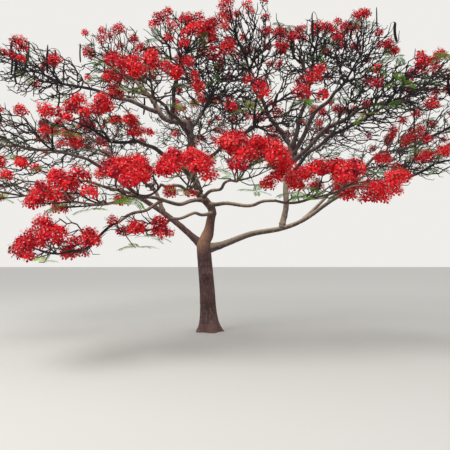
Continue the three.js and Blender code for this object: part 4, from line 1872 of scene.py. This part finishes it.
class Shading:
    """A new material and the nodes that are added to it.

    A mix node has its colours after its numbers and vectors, so they are taken by their place.
    """

    mix_inputs: tuple[int, int] = (6, 7)
    mix_output: int = 2

    def __init__(self, name: str, colour: Colour, specular: float) -> None:
        """Starts the material.

        Args:
            name: its name.
            colour: its colour in plain views.
            specular: how strongly it reflects.
        """
        self.material = bpy.data.materials.new(name)
        self.material.use_nodes = True
        self.material.diffuse_color = (*colour, 1)
        self.shader = self.material.node_tree.nodes["Principled BSDF"]
        self.feed(self.shader, {"Specular IOR Level": specular})
        self.place = self.node("TexCoord", {}).outputs["Object"]

    def feed(self, node: bpy.types.Node, inputs: dict[str | int, object]) -> None:
        """Sets inputs of a node.

        Args:
            node: the node.
            inputs: a value, or the output that feeds it, for each input.
        """
        for name, value in inputs.items():
            if isinstance(value, Socket):
                self.material.node_tree.links.new(value, node.inputs[name])
            else:
                node.inputs[name].default_value = value

    def node(self, kind: str, inputs: dict[str | int, object], **settings: str) -> bpy.types.Node:
        """Adds a node.

        Args:
            kind: its type, without the part that all of them begin with.
            inputs: a value, or the output that feeds it, for each input.
            settings: its settings.

        Returns:
            The node.
        """
        made = self.material.node_tree.nodes.new(f"ShaderNode{kind}")
        for name, value in settings.items():
            setattr(made, name, value)
        self.feed(made, inputs)
        return made

    def noise(self, scale: float, detail: float, stretch: Point = (1, 1, 1)) -> Socket:
        """Adds a noise over the object, stretched, and returns its output."""
        place = self.node("Mapping", {"Vector": self.place, "Scale": stretch}).outputs["Vector"]
        return self.node("TexNoise", {"Vector": place, "Scale": scale, "Detail": detail}).outputs["Fac"]

    def ramp(self, value: Socket, span: Pair, most: float = 1, least: float = 0) -> Socket:
        """Adds a clamped stretch of a value.

        Args:
            value: the value.
            span: where in the value it starts and ends.
            most: what it gives at the end.
            least: what it gives at the start.

        Returns:
            The output.
        """
        low, high = span
        inputs = {"Value": value, "From Min": low, "From Max": high, "To Min": least, "To Max": most}
        return self.node("MapRange", inputs).outputs["Result"]

    def blend(self, share: Socket, low: Socket | Colour, high: Colour) -> Socket:
        """Adds a mix of two colours.

        Args:
            share: how much of the second there is.
            low: the first, plain or from an output.
            high: the second.

        Returns:
            The output.
        """
        first, second = self.mix_inputs
        inputs = {0: share, first: low if isinstance(low, Socket) else (*low, 1), second: (*high, 1)}
        return self.node("Mix", inputs, data_type="RGBA").outputs[self.mix_output]

    def dress(self, gloss: Socket, height: Socket, strength: float, depth: float) -> None:
        """Gives the surface its roughness and its fine relief.

        Args:
            gloss: the roughness.
            height: the relief.
            strength: how strong the relief is.
            depth: how deep it is, in metres.
        """
        bump = self.node("Bump", {"Strength": strength, "Distance": depth, "Height": height})
        self.feed(self.shader, {"Roughness": gloss, "Normal": bump.outputs["Normal"]})


@dataclass(frozen=True)
class Finish:
    """A plain colour with fine unevenness in its gloss and surface, for small parts dealt out by spray."""

    name: str
    colour: Colour
    roughness: Pair = (0.45, 0.7)
    grain: float = 60.0
    grain_detail: float = 3.0
    bump: float = 0.25
    depth: float = 0.001
    specular: float = 0.3

    def make(self) -> Material:
        """Makes the material.

        Returns:
            The material.
        """
        shading = Shading(self.name, self.colour, self.specular)
        shading.feed(shading.shader, {"Base Color": (*self.colour, 1)})
        grain = shading.noise(self.grain, self.grain_detail)
        smooth, rough = self.roughness
        shading.dress(shading.ramp(grain, (0, 1), rough, smooth), grain, self.bump, self.depth)
        return shading.material


class Layer(NamedTuple):
    """A layer of bark: its noise's scale, detail and stretch, the span in which it sets in, and its share."""

    scale: float
    detail: float
    stretch: Point
    span: Pair
    most: float = 1.0


# Painted light: a tan patch of light on the trunk and leader where the boughs part, with its middle, stretch,
# raggedness and fade.
PAINTED_LIGHT_PLACE = (-0.2, -0.16, 2.1)
PAINTED_LIGHT_STRETCH = (1.0, 0.8, 0.55)
PAINTED_LIGHT_RAGGEDNESS = 0.3
PAINTED_LIGHT_REACH = (0.42, 0.22)


@dataclass(frozen=True)
class BarkFinish:
    """Bark in three tones, with painted light making it paler on its upper side, and a painted patch of light
    where the boughs part.
    """

    name: str
    deep: Colour
    body: Colour
    pale: Colour
    # Painted light: the colour that bark is lightened towards where it faces up, how strongly, and over which
    # facing.
    top: Colour
    top_light_share: float = 0.6
    top_light_span: Pair = (-0.1, 0.85)
    # Painted light: the tan of the lit patch where the boughs part, and how strongly it shows.
    painted_light_tint: Colour = (0.44, 0.25, 0.155)
    painted_light_share: float = 0.0
    rings: float = 0.0
    patches: Layer = Layer(2.6, 4, (1, 1, 1), (0.36, 0.66))
    streaks: Layer = Layer(26.0, 5, (1, 1, 0.35), (0.5, 0.68), 0.8)
    specks: Layer = Layer(90.0, 2, (1, 1, 2.4), (0.62, 0.7), 0.5)
    ring_marks: Layer = Layer(26.0, 3, (0.1, 0.1, 1), (0.5, 0.7))
    roughness: Pair = (0.7, 0.95)
    roughness_span: Pair = (0.3, 0.7)
    bump: float = 0.7
    depth: float = 0.004
    specular: float = 0.25

    def make(self) -> Material:
        """Makes the material.

        Returns:
            The material.
        """
        shading = Shading(self.name, self.body, self.specular)
        colour = self.deep
        grains = []
        for layer, tint in ((self.patches, self.body), (self.streaks, self.pale), (self.specks, self.pale)):
            grains.append(shading.noise(layer.scale, layer.detail, layer.stretch))
            colour = shading.blend(shading.ramp(grains[-1], layer.span, layer.most), colour, tint)
        patches, streaks, _ = grains
        # Painted light: the more the bark faces up, the more it takes the top colour.
        normal = shading.node("NewGeometry", {}).outputs["Normal"]
        facing = shading.node("SeparateXYZ", {"Vector": normal}).outputs["Z"]
        colour = shading.blend(shading.ramp(facing, self.top_light_span, self.top_light_share), colour, self.top)
        if self.rings:
            marks = shading.noise(*self.ring_marks[:3])
            colour = shading.blend(shading.ramp(marks, self.ring_marks.span, self.rings), colour, self.deep)
        # Painted light: the patch of light where the boughs part.
        if self.painted_light_share:
            nearness = self.painted_light_patch(shading, streaks)
            colour = shading.blend(shading.ramp(nearness, PAINTED_LIGHT_REACH, self.painted_light_share), colour, self.painted_light_tint)
        shading.feed(shading.shader, {"Base Color": colour})
        smooth, rough = self.roughness
        gloss = shading.ramp(patches, self.roughness_span, rough, smooth)
        shading.dress(gloss, streaks, self.bump, self.depth)
        return shading.material

    @staticmethod
    def painted_light_patch(shading: Shading, streaks: Socket) -> Socket:
        """The distance from the lit patch's middle, made ragged by the streaks.

        Args:
            shading: the material so far.
            streaks: the noise of the streaks.

        Returns:
            The output.
        """
        shift = tuple(-along * stretch for along, stretch in zip(PAINTED_LIGHT_PLACE, PAINTED_LIGHT_STRETCH))
        near = shading.node("Mapping", {"Vector": shading.place, "Location": shift, "Scale": PAINTED_LIGHT_STRETCH})
        far = shading.node("VectorMath", {0: near.outputs["Vector"]}, operation="LENGTH")
        inputs = {0: streaks, 1: PAINTED_LIGHT_RAGGEDNESS, 2: far.outputs["Value"]}
        return shading.node("Math", inputs, operation="MULTIPLY_ADD").outputs["Value"]


# The trunk's red-brown is kept dark, partly its own tone and partly painted shade.
TRUNK_BARK = BarkFinish(
    "trunk_bark_red_brown",
    (0.038, 0.021, 0.025), (0.1, 0.052, 0.054), (0.19, 0.11, 0.105), (0.34, 0.21, 0.17), 0.5,
    rings=0.4, painted_light_share=0.85,
)
# Painted shade: a darker copy of the bark for the limbs high in the crown.
UPPER_BARK = BarkFinish(
    "upper_bark_painted_shade",
    (0.026, 0.02, 0.026), (0.062, 0.046, 0.048), (0.16, 0.115, 0.105), (0.32, 0.22, 0.18),
)
BARKS = {
    "trunk": TRUNK_BARK,
    "leader": BarkFinish(
        "leader_bark_red_tan",
        (0.055, 0.029, 0.03), (0.14, 0.07, 0.063), (0.26, 0.15, 0.125), (0.42, 0.26, 0.2), 0.5,
        rings=0.3, painted_light_share=0.85,
    ),
    "left_bough": replace(TRUNK_BARK, name="left_bough_bark_red_brown", rings=0.2, painted_light_share=0.0),
    "elbow": replace(
        UPPER_BARK, name="elbow_bark_brown",
        body=(0.085, 0.058, 0.056), top=(0.46, 0.33, 0.28), top_light_share=0.85,
    ),
    # Painted light: a paler copy of the bark for the low boughs, with a strong cream top.
    "bough": BarkFinish(
        "bough_bark_painted_light",
        (0.055, 0.042, 0.045), (0.13, 0.092, 0.085), (0.29, 0.21, 0.17), (0.7, 0.57, 0.42), 0.85,
    ),
    "upper": UPPER_BARK,
}
POD_FINISHES = (
    Finish("pod_black_brown", (0.014, 0.01, 0.011), (0.5, 0.8), bump=0.5, specular=0.1),
    Finish("pod_brown", (0.032, 0.02, 0.017), (0.5, 0.8), bump=0.5, specular=0.1),
)
FINISHES = {
    "twigs": (
        # Painted shade in the dark twigs and painted light in the pale ones, over the bark's brown.
        Finish("twig_dark_painted_shade", (0.022, 0.017, 0.022), (0.6, 0.9)),
        Finish("twig_brown", (0.085, 0.055, 0.045), (0.6, 0.9)),
        Finish("twig_pale_painted_light", (0.3, 0.22, 0.17), (0.6, 0.9)),
    ),
    "blossom": (
        Finish("flower_stalk", (0.25, 0.03, 0.02)),
        Finish("petal_pale", (0.82, 0.2, 0.19), specular=0.1),
        Finish("stamen_red", (0.6, 0.008, 0.02)),
        Finish("sepal_red_green", (0.3, 0.03, 0.012)),
        Finish("petal_scarlet", (0.74, 0.012, 0.022), specular=0.1),
        Finish("petal_bright", (0.83, 0.02, 0.03), specular=0.1),
        Finish("petal_coral", (0.86, 0.06, 0.068), specular=0.1),
        # The crimson and deep tints are partly the flowers' own darker reds and partly painted shade; whole
        # heads often take one of them.
        Finish("petal_crimson", (0.56, 0.008, 0.028), specular=0.1),
        Finish("petal_deep_red_and_shade", (0.34, 0.006, 0.024), specular=0.1),
    ),
    "leaves": (
        Finish("leaf_rib", (0.2, 0.24, 0.05)),
        Finish("leaf_green", (0.09, 0.27, 0.03), (0.4, 0.6)),
        Finish("leaf_bright", (0.19, 0.43, 0.045), (0.4, 0.6)),
        Finish("leaf_yellow_green", (0.33, 0.5, 0.07), (0.4, 0.6)),
        Finish("leaf_deep", (0.05, 0.17, 0.025), (0.4, 0.6)),
    ),
    "pods": POD_FINISHES,
}
FLOOR_FINISH = Finish("pale_floor", (0.6, 0.6, 0.59), (0.85, 0.95), grain=2.0, bump=0.05)


@dataclass
class Wooden:
    """The trunk and every limb in bark, each standing for its own solid."""

    skeleton: Skeleton
    relief: BarkRelief = BarkRelief()
    # Painted light on bark below this height, painted shade above it.
    lit_bark_below: float = 3.4

    def finish_for(self, stem: Wood3D, made: dict[str, Material]) -> Material:
        """The bark of one stem: red-brown on the trunk and its first limbs, tan with painted light on low
        boughs, dark with painted shade above.

        Args:
            stem: the trunk or limb.
            made: the bark materials by name.

        Returns:
            The material.
        """
        if stem.name in made:
            return made[stem.name]
        return made["bough"] if stem.point(0.5)[2] < self.lit_bark_below else made["upper"]

    def build(self) -> None:
        """Builds a piece for each stem."""
        made = {name: bark.make() for name, bark in BARKS.items()}
        total = 0
        for name, stem in self.skeleton.stems.items():
            mesh = stem.build(self.relief)
            total += mesh.triangles
            piece = mesh.make(f"{name}_bark", [self.finish_for(stem, made)])
            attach(piece, BODY)
            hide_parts(name)
        LOG.info("bark of the trunk and %d limbs: %d triangles", len(self.skeleton.stems) - 1, total)


@dataclass
class CrownStorey:
    """One storey of the crown: the twigs, blossom, leaves and pods of its masses, each kind in one piece."""

    storey: Storey
    masses: list[Mass]
    twigs: Twigs = Twigs()
    blossom: Blossom = Blossom()
    foliage: Foliage = Foliage()
    pods: tuple[Pod, ...] = (Pod(), HOOKED_POD)

    def build(self, finishes: dict[str, list[Material]]) -> int:
        """Builds the storey's pieces.

        Args:
            finishes: the materials of each kind of piece.

        Returns:
            How many triangles they have.
        """
        rng = np.random.default_rng(FINE_SEED - 1 - list(Storey).index(self.storey))
        meshes = {kind: JoinedMesh() for kind in FINISHES}
        flowers = self.blossom.patterns()
        leaf_patterns = [self.foliage.leaf.draw(seed) for seed in range(self.foliage.leaf.patterns)]
        pod_patterns = [pod.draw(curl) for pod in self.pods for curl in pod.curls]
        for mass in self.masses:
            self.twigs.add(meshes["twigs"], mass, rng)
            for head in mass.heads:
                self.blossom.add(meshes["blossom"], head, DRESS[self.storey], flowers, rng)
            self.foliage.add(meshes["leaves"], mass, leaf_patterns, rng)
            for place, turn in mass.pods:
                pattern = pod_patterns[rng.integers(0, len(pod_patterns))]
                bases = level_bases(np.array([turn]), np.array([0.0]))
                tints = np.array([rng.integers(0, len(POD_FINISHES))])
                meshes["pods"].scatter(pattern, place[None], bases, np.ones((1, 3)), tints)
        total = 0
        for kind, mesh in meshes.items():
            if not mesh.count:
                continue
            piece = mesh.make(f"{kind}_{self.storey.value}", finishes[kind])
            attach(piece, BODY)
            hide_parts(*(f"crown_{mass.row.name}" for mass in self.masses))
            total += mesh.triangles
            LOG.info("%s: %d triangles", piece.name, mesh.triangles)
        return total


@dataclass
class Crown:
    """All the masses of the crown, on the limbs that carry them."""

    skeleton: Skeleton
    packed: Box
    masses: list[Mass] = field(default_factory=list)

    def grow(self) -> None:
        """Lays out every mass's space, walls them off from each other and grows them."""
        for index, row in enumerate(MASS_ROWS):
            bough = self.skeleton.stems[row.bough]
            self.masses.append(Mass(row, index, bough, Space(row, bough, self.packed)))
        samples = self.skeleton.samples()
        spaces = [mass.space for mass in self.masses]
        for mass in self.masses:
            mass.space.wall_off(spaces, samples)
            mass.grow()

    def build(self) -> None:
        """Builds each storey's pieces and reports them."""
        finishes = {kind: [finish.make() for finish in row] for kind, row in FINISHES.items()}
        total = 0
        for storey in Storey:
            masses = [mass for mass in self.masses if mass.row.storey is storey]
            total += CrownStorey(storey, masses).build(finishes)
        heads = sum(len(mass.heads) for mass in self.masses)
        tips = sum(mass.source_tips for mass in self.masses)
        LOG.info("crown: %d triangles, %d heads of bloom, %d of the source's tips", total, heads, tips)


@dataclass(frozen=True)
class Studio:
    """The floor, the soft light and the camera."""

    floor_half: float = 120.0
    camera_place: Point = (0.345, -11.0, 1.5)
    camera_tilt: float = 94.1
    camera_range: float = 1000.0
    lens: float = 40.4
    sky: Colour = (1.0, 0.99, 0.955)
    sky_strength: float = 0.86
    key_place: Point = (-7.0, -9.0, 14.0)
    key_size: float = 9.0
    key_power: float = 1700.0
    key_colour: Colour = (1.0, 0.97, 0.92)

    def build(self) -> None:
        """Builds the floor, the light and the camera."""
        self.lay_floor()
        self.hang_lights()
        self.set_camera()

    def lay_floor(self) -> None:
        """Lays a plain pale floor."""
        reach = self.floor_half
        mesh = bpy.data.meshes.new("floor")
        corners = [(-reach, -reach, 0), (reach, -reach, 0), (reach, reach, 0), (-reach, reach, 0)]
        mesh.from_pydata(corners, [], [(0, 1, 2, 3)])
        mesh.materials.append(FLOOR_FINISH.make())
        floor = bpy.data.objects.new("floor", mesh)
        bpy.context.scene.collection.objects.link(floor)
        floor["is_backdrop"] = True

    def hang_lights(self) -> None:
        """Makes a pale sky and one large soft light high on the left in front."""
        scene = bpy.context.scene
        scene.view_settings.view_transform = "Standard"
        world = bpy.data.worlds.new("soft_sky")
        scene.world = world
        world.use_nodes = True
        sky = world.node_tree.nodes["Background"]
        sky.inputs["Color"].default_value = (*self.sky, 1)
        sky.inputs["Strength"].default_value = self.sky_strength
        light = bpy.data.lights.new("soft_key", "AREA")
        light.shape = "DISK"
        light.size = self.key_size
        light.energy = self.key_power
        light.color = self.key_colour
        key = bpy.data.objects.new("soft_key", light)
        key.location = self.key_place
        key.rotation_euler = (-Vector(self.key_place)).to_track_quat("-Z", "Y").to_euler()
        scene.collection.objects.link(key)

    def set_camera(self) -> None:
        """Sets the camera at the photo's viewpoint, looking a little upwards."""
        scene = bpy.context.scene
        camera = bpy.data.cameras.new("camera")
        camera.lens = self.lens
        camera.clip_end = self.camera_range
        holder = bpy.data.objects.new("camera", camera)
        holder.location = self.camera_place
        holder.rotation_euler = (math.radians(self.camera_tilt), 0, 0)
        scene.collection.objects.link(holder)
        scene.camera = holder


def main() -> None:
    """Builds the flame tree piece by piece."""
    logging.basicConfig(level=logging.INFO, format="%(name)s: %(message)s")
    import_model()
    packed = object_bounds()
    Studio().build()
    skeleton = Skeleton()
    Wooden(skeleton).build()
    crown = Crown(skeleton, Box(*(np.array(corner) for corner in packed)))
    crown.grow()
    crown.build()


if __name__ == "__main__":
    main()
